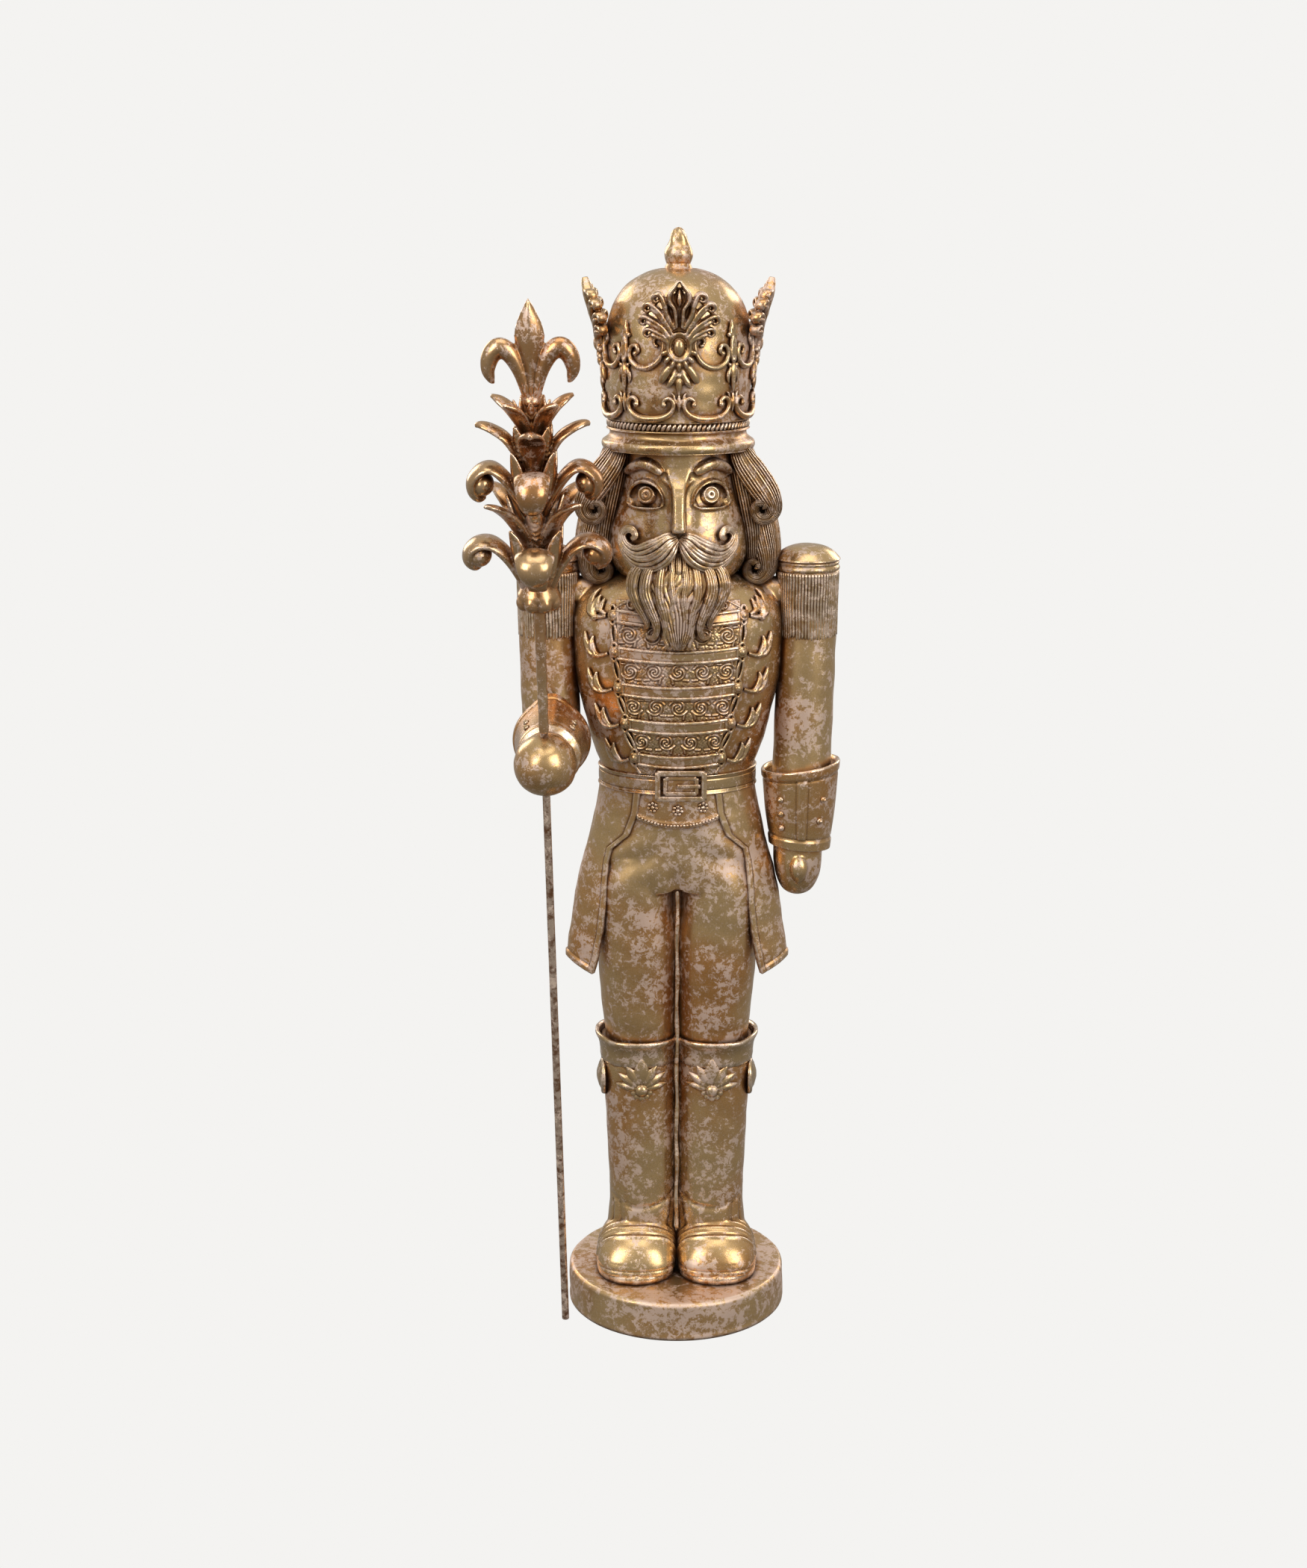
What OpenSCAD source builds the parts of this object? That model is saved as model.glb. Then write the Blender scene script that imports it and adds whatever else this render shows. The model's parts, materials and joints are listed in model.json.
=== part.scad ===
// Gilded nutcracker king with a loose sceptre, built from separate castings.
// The figure faces -Y and stands on z = 0. Its own right hand is at -X and holds the sceptre.
// Millimetres and degrees.

/* [Base] */
// Diameter of the round plinth
base_d = 123; // [110:1:160]
// Height of the plinth
base_h = 22.5; // [18:0.5:32]
// Wall of the plinth casting
base_wall = 7; // [5:0.5:9]
// Thickness of the felt disc under the plinth
felt_t = 2; // [1.5:0.5:3]

/* [Boots and legs] */
// Height of a boot from the plinth to its rim
boot_h = 138.5; // [115:0.5:170]
// Radius of a boot shaft at its rim
boot_r = 20; // [17:0.5:21]
// Thickness of the welted sole
sole_t = 5; // [4:0.5:7]
// Distance from the middle of the figure to the middle of a boot shaft
leg_x = 20.4; // [20.3:0.1:22]
// Length of the trouser legs and hips, boot rim to waist
leg_h = 143; // [120:1:172]

/* [Body] */
// Height from the waist to the neck
torso_h = 114; // [98:1:137]
// Width of the chest
chest_w = 107; // [92:1:107.5]
// Depth of the chest
chest_d = 74; // [62:1:86]
// Width of the waist inside the belt
waist_w = 77; // [68:1:84]
// Depth of the waist inside the belt
waist_d = 54; // [46:1:60]
// Height of the belt
belt_h = 11; // [9:0.5:13]
// Thickness of the belt
belt_t = 3.2; // [2.5:0.1:4]
// Thickness of the coat tails
tail_t = 3.4; // [2.8:0.1:4]
// Height of the coat tails below the waist at the sides
tail_h = 99; // [82:1:112]

/* [Head and hat] */
// Height of the head from the neck to the hat brim
head_h = 68.5; // [58:0.5:82]
// Width of the face at the cheeks
face_w = 75; // [65:1:78]
// Depth of the head
head_d = 72; // [62:1:76]
// Radius of the hat above its band
hat_r = 37.5; // [34:0.5:41]
// Height of the hat from its brim to the top of the dome
hat_h = 92.5; // [80:0.5:110]
// Height of the finial on the dome
finial_h = 21; // [17:0.5:26]

/* [Arms] */
// Radius of a sleeve
sleeve_r = 15.8; // [13.5:0.1:16]
// Distance from the middle of the figure to the shoulder
shoulder_x = 70.6; // [70.4:0.1:75]
// Length of a sleeve from its top to the elbow
upper_arm_l = 83; // [72:1:95]
// Length from the elbow to the middle of the fist
forearm_l = 80; // [76:1:96]
// Radius of the fist
fist_r = 16; // [15.5:0.5:19]
// Length of a cuff
cuff_l = 40; // [34:1:44]
// Angle at which the arms swing in towards the hips
arm_swing = 1.5; // [1.3:0.1:2]

/* [Sceptre] */
// Diameter of the steel rod
rod_d = 4; // [3:0.5:5]
// Radial clearance of the rod in the fist
rod_clearance = 0.25; // [0.15:0.05:0.5]
// Angle at which the sceptre leans forward
lean_forward = 8; // [6:0.5:9]
// Angle at which the sceptre leans out
lean_out = 1; // [0.5:0.1:2]
// Length of the sceptre from its foot to its tip
sceptre_l = 573; // [560:1:690]
// Reach of the widest leaves from the rod
leaf_reach = 33; // [27:0.5:36]

/* [Hidden] */

gold = "#b08a4e";
pale_gold = "#c6a472";
copper_gold = "#9a6d3c";
$fn = 48;
sides = 24;          // corners of a lofted section
strand_sides = 8;    // corners of a swept strand
seat_gap = 0.1;      // stand-off between an ornament and the skin that carries it
tiny = 0.01;

// Heights, stacked from the floor up
base_top = base_h;
boot_top = base_top + boot_h;
waist_z = boot_top + leg_h;
belt_top = waist_z + belt_h;
neck_z = waist_z + torso_h;
brim_z = neck_z + head_h;
dome_z = brim_z + hat_h;

// Hat rings
brim_h = 6;
brim_r = hat_r + 2.9;
band_h = 8;
rope_h = 7.5;
rope_z = brim_z + brim_h + band_h;
body_z = rope_z + rope_h;

// Arms
sleeve_top = neck_z + 3;
elbow_z = sleeve_top - upper_arm_l;
forearm_droop = 4.3;
fringe_h = 34;
fringe_r = sleeve_r + 2.8;
cap_h = 14.3;
cuff_rim_r = sleeve_r + 5.3;
cuff_end_r = sleeve_r + 1.4;
wrist_l = 146;                    // sleeve top to the wrist of the hanging arm
hand_h = 34;

// Sceptre
grip = [-shoulder_x + upper_arm_l * sin(arm_swing),
        -forearm_l * cos(forearm_droop),
        elbow_z - forearm_l * sin(forearm_droop)];
foot_rise = 0.3;                  // lifts the tilted end of the rod just off the floor
grip_l = (grip[2] - foot_rise) / (cos(lean_forward) * cos(lean_out));
stem_from = grip_l + fist_r + 1.2;
tier_base = 425;                  // foot of the rod to the lowest leaves

// ---------- shared shapes ----------

// One ring of a loft. s = [z, middle x, middle y, half width, half depth]
function ring(s) = [for (i = [0:sides - 1])
    let (a = 360 * i / sides)
    [s[1] + s[3] * cos(a), s[2] + s[4] * sin(a), s[0]]];

function tube_faces(rings, n) = concat(
    [[for (i = [0:n - 1]) i]],
    [for (r = [0:rings - 2], i = [0:n - 1])
        let (j = (i + 1) % n, a = r * n)
        each [[a + i, a + n + i, a + j], [a + j, a + n + i, a + n + j]]],
    [[for (i = [n - 1:-1:0]) (rings - 1) * n + i]]);

module loft(sections) {
    polyhedron([for (s = sections) each ring(s)], tube_faces(len(sections), sides));
}

// Sections made wider and deeper all round
function grown(sections, by) = [for (s = sections) [s[0], s[1], s[2], s[3] + by, s[4] + by]];

function unit(v) = v / norm(v);

// A strand with an elliptical section, swept along points.
// normals point away from the skin; half_w lies across the strand, half_t along the normal.
module strand(points, normals, half_w, half_t) {
    last = len(points) - 1;
    rings = [for (i = [0:last])
        let (
            t = unit(points[min(i + 1, last)] - points[max(i - 1, 0)]),
            b = unit(cross(t, normals[i])),
            n = cross(b, t))
        each [for (k = [0:strand_sides - 1])
            let (a = 360 * k / strand_sides)
            points[i] + b * half_w[i] * cos(a) + n * half_t[i] * sin(a)]];
    polyhedron(rings, tube_faces(last + 1, strand_sides));
}

// A spindle-shaped petal along +Z
module petal(length, radius) {
    rotate_extrude($fn = 24)
        polygon([for (t = [0:0.125:1]) [radius * (1 - pow(2 * t - 1, 2)), length * t]]);
}

module mirrored(left) {
    if (left) children();
    else mirror([1, 0, 0]) children();
}

// ---------- base ----------

module base() {
    r = base_d / 2;
    lip = felt_t / 2;
    color(gold) difference() {
        rotate_extrude($fn = 96) {
            translate([0, lip]) square([r - 3, base_top - lip]);
            translate([r - 3 - tiny, lip]) square([3 + tiny, base_top - lip - 3]);
            translate([r - 3, base_top - 3]) circle(3, $fn = 48);
        }
        translate([0, 0, lip - tiny]) cylinder(h = felt_t - lip + tiny, r = r - 2, $fn = 96);
        translate([0, 0, felt_t - tiny]) cylinder(h = base_h - base_wall - felt_t, r = r - base_wall, $fn = 96);
        leg_pegs();
    }
}

module felt_disc() {
    color("#5b4a3a") cylinder(h = felt_t, r = base_d / 2 - 2, $fn = 96);
}

// ---------- boots ----------

shoe_x = leg_x + 2.3;
shoe_w = leg_x * 2 + 2.6;
boot_sections = [
    [base_top + sole_t, shoe_x, -8, shoe_w / 2 - 0.7, 28.5],
    [base_top + sole_t + 7, shoe_x, -7, shoe_w / 2 - 0.6, 28],
    [base_top + sole_t + 13, shoe_x - 0.6, -4.5, shoe_w / 2 - 1.2, 25],
    [base_top + sole_t + 19, leg_x, -1, boot_r - 0.2, 22],
    [base_top + sole_t + 28, leg_x - 1.1, 2, boot_r - 1.2, boot_r - 0.5],
    [base_top + boot_h * 0.4, leg_x - 1.2, 2.5, boot_r - 1.3, boot_r - 1],
    [base_top + boot_h * 0.65, leg_x - 0.7, 2, boot_r - 0.8, boot_r - 0.5],
    [base_top + boot_h * 0.85, leg_x, 1.5, boot_r, boot_r],
    [boot_top, leg_x, 1.5, boot_r, boot_r]
];
leg_axis = [leg_x, 1.5];
peg_r = 5;

module leg_pegs() {
    for (side = [-1, 1])
        translate([side * leg_axis[0], leg_axis[1], base_h - 7]) cylinder(h = 32, r = peg_r);
}

module boot(left) {
    color(gold) mirrored(left) difference() {
        loft(boot_sections);
        translate([leg_axis[0], leg_axis[1], base_h - 7]) cylinder(h = 32, r = peg_r);
        translate([leg_axis[0], leg_axis[1], boot_top - 14]) cylinder(h = 28, r = peg_r);
    }
}

module sole(left) {
    color(pale_gold) mirrored(left) difference() {
        loft([
            [base_top, shoe_x, -8, shoe_w / 2, 30],
            [base_top + sole_t, shoe_x, -8, shoe_w / 2 + 0.6, 30.5]
        ]);
        translate([leg_axis[0], leg_axis[1], base_h - 7]) cylinder(h = 32, r = peg_r);
    }
}

cuff_ring_h = 16;

module boot_cuff(left) {
    color(pale_gold) mirrored(left) intersection() {
        translate([leg_axis[0], leg_axis[1], boot_top - cuff_ring_h]) rotate_extrude()
            polygon([
                [boot_r + 0.05, 0], [boot_r + 1.3, 0.5], [boot_r + 2.2, cuff_ring_h - 5],
                [boot_r + 4, cuff_ring_h - 1.5], [boot_r + 3.6, cuff_ring_h + 0.8],
                [boot_r + 1.4, cuff_ring_h + 1], [boot_r + 0.05, cuff_ring_h - 1]
            ]);
        translate([0.2, -50, 0]) cube([100, 100, waist_z]);
    }
}

boss_z = boot_top - 24.5;
boss_r = 11.8;

module boot_boss(left) {
    color(pale_gold) mirrored(left) difference() {
        translate([leg_axis[0] + boot_r - 3, leg_axis[1] - 2, boss_z]) rotate([0, 90, 0])
            rotate_extrude() polygon([[0, 0], [boss_r, 0], [boss_r, 4], [boss_r - 3, 7], [0, 8]]);
        loft(grown(boot_sections, seat_gap));
        translate([leg_axis[0], leg_axis[1], boot_top - cuff_ring_h - seat_gap])
            cylinder(h = 20, r = boot_r + 4.5);
    }
}

// A domed gem seen from the front, standing off the plane y = 0
module gem(r) {
    rotate([90, 0, 0]) rotate_extrude()
        polygon([[0, -r / 6], [r, -r / 6], [r * 0.93, r * 0.23], [r * 0.67, r * 0.5], [0, r * 0.67]]);
}

// Seven petals fanned round a gem, on the front of each boot
module boot_palmette(left) {
    petal_r = 2;
    color(pale_gold) mirrored(left)
        translate([leg_axis[0] - 2, leg_axis[1] - boot_r - petal_r - seat_gap, boot_top - cuff_ring_h - 17.5]) {
            gem(3.4);
            for (i = [-3:3])
                rotate([0, i * 31, 0]) translate([0, 0, 3.8]) petal(13.2 - abs(i) * 1.3, petal_r);
        }
}

// ---------- trousers and coat ----------

hip_w = waist_w - 2;
hip_sections = [
    [waist_z - leg_h * 0.44, 0, 0, hip_w / 2 + 8.5, waist_d / 2 - 1],
    [waist_z - leg_h * 0.29, 0, 0, hip_w / 2 + 6.5, waist_d / 2],
    [waist_z - leg_h * 0.13, 0, 0, hip_w / 2 + 3, waist_d / 2 - 0.5],
    [waist_z, 0, 0, hip_w / 2, waist_d / 2 - 1.5]
];

module trousers() {
    color(gold) difference() {
        union() {
            for (side = [-1, 1]) loft([
                [boot_top, side * leg_x, 1.5, boot_r, boot_r],
                [boot_top + leg_h * 0.17, side * (leg_x + 0.9), 1, boot_r + 0.8, boot_r + 1.5],
                [boot_top + leg_h * 0.38, side * (leg_x + 2.2), 0, boot_r + 2.1, boot_r + 3.5],
                [boot_top + leg_h * 0.6, side * (leg_x + 3), 0, boot_r + 2.9, waist_d / 2 - 1.2]
            ]);
            loft(hip_sections);
        }
        for (side = [-1, 1])
            translate([side * leg_axis[0], leg_axis[1], boot_top - 14]) cylinder(h = 28, r = peg_r);
        translate([0, 0, waist_z - 16]) cylinder(h = 32, r = peg_r);
    }
}

tail_sections = [
    [waist_z - tail_h - 9, 0, 0, waist_w / 2 + 22, waist_d / 2 + 13.5],
    [waist_z - tail_h * 0.85, 0, 0, waist_w / 2 + 19.5, waist_d / 2 + 12],
    [waist_z - tail_h * 0.49, 0, 0, waist_w / 2 + 14.3, waist_d / 2 + 9],
    [waist_z - tail_h * 0.15, 0, 0, waist_w / 2 + 7, waist_d / 2 + 5],
    [waist_z, 0, 0, waist_w / 2 + 3.2, waist_d / 2 + 2.5]
];
hem_z = waist_z - tail_h;

// Front opening of the coat, seen from the front: half of it, the other half is its mirror
coat_opening = [
    [0, waist_z + 1], [18.5, waist_z + 1], [20, waist_z - 12], [24, waist_z - 22],
    [34, waist_z - 31], [37, waist_z - 41], [39, waist_z - 66], [42, waist_z - 88],
    [46, hem_z - 10], [0, hem_z - 10]
];

module coat_tail(left) {
    color(gold) mirrored(left) difference() {
        loft(tail_sections);
        loft([for (s = grown(tail_sections, -tail_t))
            [s[0] == waist_z ? waist_z + tiny : s[0] - (s[0] < hem_z ? 1 : 0), s[1], s[2], s[3], s[4]]]);
        translate([0, 0.5, 0]) rotate([90, 0, 0]) linear_extrude(height = 60) polygon(coat_opening);
        translate([-100.2, -100, 0]) cube([100.4, 200, waist_z + 10]);
        // the hem rises from the front point to the side
        translate([0, 0, hem_z]) rotate([90, 0, 0]) translate([0, 0, -60]) linear_extrude(height = 60)
            polygon([[-1, -20], [90, -20], [90, 0], [-1, 0]]);
        translate([0, 0, hem_z]) rotate([0, 90, 0]) translate([0, 0, -1]) linear_extrude(height = 90)
            polygon([[0, 0], [20, 0], [20, -60], [14, -60], [8, -26]]);
    }
}

module waistcoat_hem() {
    color(pale_gold) difference() {
        loft(grown(hip_sections, 2.4));
        loft([for (s = grown(hip_sections, seat_gap)) [s[0] + (s[0] == waist_z ? tiny : 0), s[1], s[2], s[3], s[4]]]);
        translate([-100, -14, 0]) cube([200, 200, 600]);
        // keeps the crescent between the coat edges
        translate([0, -10, 0]) rotate([90, 0, 0]) linear_extrude(height = 60) difference() {
            translate([-100, 0]) square([200, waist_z + 5]);
            intersection() {
                translate([0, waist_z + 40]) circle(59, $fn = 96);
                translate([-17.8, waist_z - 40]) square([35.6, 41]);
            }
        }
    }
}

// ---------- torso ----------

torso_sections = [
    [waist_z, 0, 0, waist_w / 2, waist_d / 2],
    [belt_top, 0, 0, waist_w / 2 + 1, waist_d / 2 + 1],
    [waist_z + torso_h * 0.24, 0, 0, chest_w / 2 - 7, chest_d / 2 - 6],
    [waist_z + torso_h * 0.38, 0, 0, chest_w / 2 - 2.5, chest_d / 2 - 2.5],
    [waist_z + torso_h * 0.54, 0, 0, chest_w / 2, chest_d / 2 - 0.5],
    [waist_z + torso_h * 0.7, 0, 0, chest_w / 2 - 2, chest_d / 2],
    [waist_z + torso_h * 0.83, 0, 0, chest_w / 2 - 5, chest_d / 2 - 1.5],
    [waist_z + torso_h * 0.93, 0, 0, chest_w / 2 - 11, chest_d / 2 - 6],
    [neck_z, 0, 0, chest_w / 2 - 26, chest_d / 2 - 13]
];
torso_half_w = [for (s = torso_sections) [s[0], s[3]]];
torso_half_d = [for (s = torso_sections) [s[0], s[4]]];

// A point on the front of the chest, lifted off its skin
function on_chest(x, z, lift) =
    let (rx = lookup(z, torso_half_w) + lift, ry = lookup(z, torso_half_d) + lift)
    [x, -ry * sqrt(max(0, 1 - x * x / (rx * rx))), z];
function chest_normal(x, z) =
    let (rx = lookup(z, torso_half_w), ry = lookup(z, torso_half_d), p = on_chest(x, z, 0))
    unit([p[0] / (rx * rx), p[1] / (ry * ry), 0]);

shoulder_z = neck_z - 19;
shoulder_boss_r = 12;

module arm_place() {
    translate([shoulder_x, 0, sleeve_top]) rotate([0, arm_swing, 0]) children();
}

module shoulder_peg() {
    translate([shoulder_x - sleeve_r - 14, 0, shoulder_z]) rotate([0, 90, 0]) cylinder(h = 24, r = peg_r);
}

module torso() {
    color(gold) difference() {
        union() {
            loft(torso_sections);
            for (left = [true, false]) mirrored(left)
                translate([chest_w / 4, 0, shoulder_z]) rotate([0, 90, 0])
                    cylinder(h = shoulder_x - chest_w / 4, r = shoulder_boss_r);
        }
        for (left = [true, false]) mirrored(left) {
            arm_place() translate([0, 0, -wrist_l]) cylinder(h = wrist_l + 20, r = sleeve_r + seat_gap);
            shoulder_peg();
        }
        translate([0, 0, waist_z - 16]) cylinder(h = 32, r = peg_r);
        translate([0, 0, neck_z - 16]) cylinder(h = 32, r = peg_r);
    }
}

module belt() {
    color(pale_gold) difference() {
        loft([[waist_z + seat_gap, 0, 0, waist_w / 2 + belt_t, waist_d / 2 + belt_t],
              [belt_top - seat_gap, 0, 0, waist_w / 2 + 1 + belt_t, waist_d / 2 + 1 + belt_t]]);
        loft([[waist_z - 1, 0, 0, waist_w / 2, waist_d / 2],
              [belt_top + 1, 0, 0, waist_w / 2 + 1.2, waist_d / 2 + 1.2]]);
    }
}

buckle_w = 27;
buckle_h = 17;
buckle_t = 3;

module buckle() {
    front = -(waist_d / 2 + 1 + belt_t + seat_gap);
    color(pale_gold) translate([0, front, waist_z + belt_h / 2]) rotate([90, 0, 0]) difference() {
        linear_extrude(height = buckle_t) difference() {
            square([buckle_w, buckle_h], center = true);
            square([buckle_w - 8, buckle_h - 9], center = true);
        }
    }
}

// Ornament of the chest
bar_count = 5;
bar_pitch = torso_h * 0.168;
bar_top = neck_z - 14.5;
function bar_z(i) = bar_top - i * bar_pitch;
function bar_half(i) = chest_w * (0.3 - 0.0065 * i * i);
bar_r = 1.25;
bar_gap = 6.2;      // between the two cords of a bar

module frog_bars() {
    color(pale_gold) for (i = [0:bar_count - 1], up = [0, 1]) {
        z = bar_z(i) - up * bar_gap;
        half = bar_half(i) - 2;
        xs = [for (k = [-4:4]) k * half / 4];
        strand([for (x = xs) on_chest(x, z, panel_t + bar_r + seat_gap + 0.2)],
               [for (x = xs) chest_normal(x, z)],
               [for (x = xs) bar_r], [for (x = xs) bar_r]);
    }
}

// Engraved plate that carries the bars
panel_t = 1.4;

module breast_panel() {
    steps = 12;
    rows = bar_count * 2;
    function half_at(t) = bar_half(max(0, t * bar_count - 0.4)) + 1;
    low = belt_top + 0.5;
    high = bar_top + 3.2;
    top_grid = [for (r = [0:rows])
        let (z = high - (high - low) * r / rows, half = half_at(r / rows))
        [for (k = [0:steps]) on_chest(-half + 2 * half * k / steps, z, panel_t)]];
    low_grid = [for (r = [0:rows])
        let (z = high - (high - low) * r / rows, half = half_at(r / rows))
        [for (k = [0:steps]) on_chest(-half + 2 * half * k / steps, z, seat_gap * 2.5)]];
    n = steps + 1;
    count = n * (rows + 1);
    color(gold) polyhedron(
        concat([for (row = top_grid) each row], [for (row = low_grid) each row]),
        concat(
            [for (r = [0:rows - 1], k = [0:steps - 1]) let (a = r * n + k)
                each [[a, a + 1, a + n], [a + 1, a + n + 1, a + n]]],
            [for (r = [0:rows - 1], k = [0:steps - 1]) let (a = count + r * n + k)
                each [[a, a + n, a + 1], [a + 1, a + n, a + n + 1]]],
            [for (k = [0:steps - 1]) each [[k, count + k, k + 1], [k + 1, count + k, count + k + 1]]],
            [for (k = [0:steps - 1]) let (a = rows * n + k)
                each [[a, a + 1, count + a], [a + 1, count + a + 1, count + a]]],
            [for (r = [0:rows - 1]) let (a = r * n)
                each [[a, a + n, count + a], [a + n, count + a + n, count + a]]],
            [for (r = [0:rows - 1]) let (a = r * n + steps)
                each [[a, count + a, a + n], [a + n, count + a, count + a + n]]]));
}

cord_r = 1.1;

// Upright cords at both sides of the panel, one piece between two knots
module frog_cords() {
    color(pale_gold) for (i = [0:bar_count - 2], side = [-1, 1]) {
        z0 = bar_z(i) - bar_gap - 1.6;
        z1 = bar_z(i + 1) + 2.4;
        points = [for (k = [0:3])
            let (t = k / 3, x = side * (bar_half(i) * (1 - t) + bar_half(i + 1) * t + 2.9))
            on_chest(x, z0 * (1 - t) + z1 * t, cord_r + seat_gap)];
        strand(points, [for (p = points) chest_normal(p[0], p[2])],
               [cord_r, cord_r, cord_r, cord_r], [cord_r, cord_r, cord_r, cord_r]);
    }
}

module frog_knots() {
    color(pale_gold) for (i = [0:bar_count - 1], side = [-1, 1]) {
        x = side * (bar_half(i) + 4.2);
        z = bar_z(i) - bar_gap / 2 + 0.6;
        translate(on_chest(x, z, 2.4 + seat_gap)) sphere(r = 2.4, $fn = 24);
    }
}

// Loops that run outwards from the knots and end in a tassel
module frog_tassels() {
    color(pale_gold) for (i = [0:bar_count - 1], side = [-1, 1]) {
        z0 = bar_z(i) - bar_gap / 2 - 1;
        x0 = bar_half(i) + 7.4;
        rise = i == 0 ? 2.5 : 8;
        x1 = min(x0 + 8, lookup(z0 + rise, torso_half_w) - 1.8);
        lift = 1.6 + seat_gap;
        slope = i == 0 ? 1.3 : 0;      // the shoulder falls away under the top pair
        steps = 5;
        points = [for (k = [0:steps])
            let (t = k / steps, x = side * (x0 + (x1 - x0) * t), z = z0 - 2.2 * sin(180 * t) + rise * t * t)
            on_chest(x, z, lift + slope * (0.3 + t))];
        strand(points, [for (p = points) chest_normal(p[0], p[2])],
               [for (k = [0:steps]) 1 + 1.8 * k / steps], [for (k = [0:steps]) 1.3]);
    }
}

// ---------- head ----------

collar_r = 23.5;
head_sections = [
    [neck_z, 0, 0, collar_r - 2.5, collar_r - 2.5],
    [neck_z + 3, 0, 0, collar_r - 1, collar_r - 1],
    [neck_z + 5, 0, 0, face_w / 2 - 7, head_d / 2 - 6],
    [neck_z + head_h * 0.14, 0, 0, face_w / 2 - 2.4, head_d / 2 - 2],
    [neck_z + head_h * 0.29, 0, 0, face_w / 2, head_d / 2],
    [neck_z + head_h * 0.47, 0, 0, face_w / 2 - 2, head_d / 2 - 0.5],
    [neck_z + head_h * 0.69, 0, 0, face_w / 2 - 6, head_d / 2 - 2],
    [neck_z + head_h * 0.87, 0, 0, face_w / 2 - 8.5, head_d / 2 - 3],
    [brim_z, 0, 0, face_w / 2 - 8.5, head_d / 2 - 3]
];
head_half_w = [for (s = head_sections) [s[0], s[3]]];
head_half_d = [for (s = head_sections) [s[0], s[4]]];
function on_face(x, z, lift) =
    let (rx = lookup(z, head_half_w) + lift, ry = lookup(z, head_half_d) + lift)
    [x, -ry * sqrt(max(0, 1 - x * x / (rx * rx))), z];

nose_z = neck_z + head_h * 0.43;

module head() {
    color(gold) difference() {
        union() {
            loft(head_sections);
            loft([[nose_z, 0, -head_d / 2 + 2, 3.4, 10.5],
                  [nose_z + 21, 0, -head_d / 2 + 5, 2.6, 7.5],
                  [nose_z + 26, 0, -head_d / 2 + 7, 5, 5]]);
        }
        translate([0, 0, neck_z - 16]) cylinder(h = 32, r = peg_r);
        translate([0, 0, brim_z - 14]) cylinder(h = 28, r = peg_r);
    }
}

module moustache() {
    lip_z = nose_z - 2.5;
    // [out from the middle, height above the lip, half height]
    run = [[1.2, -1.5, 2], [6, -5, 4.2], [12, -9.5, 5.2], [18, -10.5, 4.2], [23, -7, 3],
           [25.5, -2, 2.2], [24, 2, 1.6], [20.5, 2.5, 1]];
    color(pale_gold) for (side = [-1, 1]) {
        points = [for (p = run) on_face(side * p[0], lip_z + p[1], 3 + seat_gap)];
        strand(points, [for (p = points) unit([p[0] * 0.6, p[1], 0])],
               [for (p = run) p[2]], [for (p = run) 2.8]);
    }
}

// Hangs from the chin over the collar and the chest
module beard() {
    top_z = nose_z - 19;
    front = -max(head_d, chest_d) / 2 - 4;
    color(pale_gold) difference() {
        loft([
            [neck_z - 33, 0, front - 0.5, 3, 2.5],
            [neck_z - 27, 0, front, 7.5, 4],
            [neck_z - 17, 0, front + 1, 9.5, 6],
            [neck_z - 8, 0, front + 2, 12.5, 8],
            [neck_z + 2, 0, front + 4, 15.5, 10],
            [top_z, 0, front + 6, 14, 10]
        ]);
        loft(grown(head_sections, 0.6));
        loft(grown(torso_sections, panel_t + bar_r * 2 + 0.85));
        translate([0, 0, neck_z - 5]) cylinder(h = 10, r = collar_r + 6.5);
    }
}

module collar() {
    color(pale_gold) translate([0, 0, neck_z]) rotate_extrude()
        translate([collar_r, 0]) polygon([[0, 0.1], [2.6, 0.1], [3.2, 1.6], [2.4, 2.8], [0, 2.8]]);
}

hair_sections = [
    [neck_z - 1, 40, 0, 5, 7],
    [neck_z + head_h * 0.1, 41, -2, 9, 12],
    [neck_z + head_h * 0.26, 41.5, -2, 9.5, 15],
    [neck_z + head_h * 0.4, 43.5, -2, 9.5, 17],
    [neck_z + head_h * 0.55, 45, -2, 9.5, 18],
    [neck_z + head_h * 0.68, 44, -1, 9.5, 18],
    [neck_z + head_h * 0.84, 37.5, 0, 8, 17],
    [brim_z - seat_gap, 31, 0, 7, 15]
];

module hair(left) {
    color(pale_gold) mirrored(left) difference() {
        loft(hair_sections);
        loft(grown(head_sections, seat_gap));
        translate([shoulder_x, 0, sleeve_top - 40]) cylinder(h = 40 + cap_h + 1, r = fringe_r + 0.6);
        loft(grown(torso_sections, 0.4));
    }
}

module hair_back() {
    color(pale_gold) difference() {
        loft([for (s = grown(head_sections, 4.5)) [s[0] - (s[0] == brim_z ? seat_gap : 0), 0, 1.5, s[3], s[4]]]);
        loft([for (s = grown(head_sections, seat_gap)) [s[0] + (s[0] == brim_z ? 1 : 0), 0, 0, s[3], s[4]]]);
        translate([-100, -200 + 8, 0]) cube([200, 200, 700]);
        translate([-100, -100, 0]) cube([200, 200, neck_z + 8]);
        for (left = [true, false]) mirrored(left) loft(grown(hair_sections, 0.3));
    }
}

// ---------- hat ----------

module hat_brim() {
    color(gold) difference() {
        translate([0, 0, brim_z]) rotate_extrude($fn = 96) {
            square([brim_r - brim_h / 2, brim_h]);
            translate([brim_r - brim_h / 2, brim_h / 2]) circle(brim_h / 2, $fn = 32);
        }
        translate([0, 0, brim_z - 14]) cylinder(h = 28, r = peg_r);
    }
}

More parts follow.
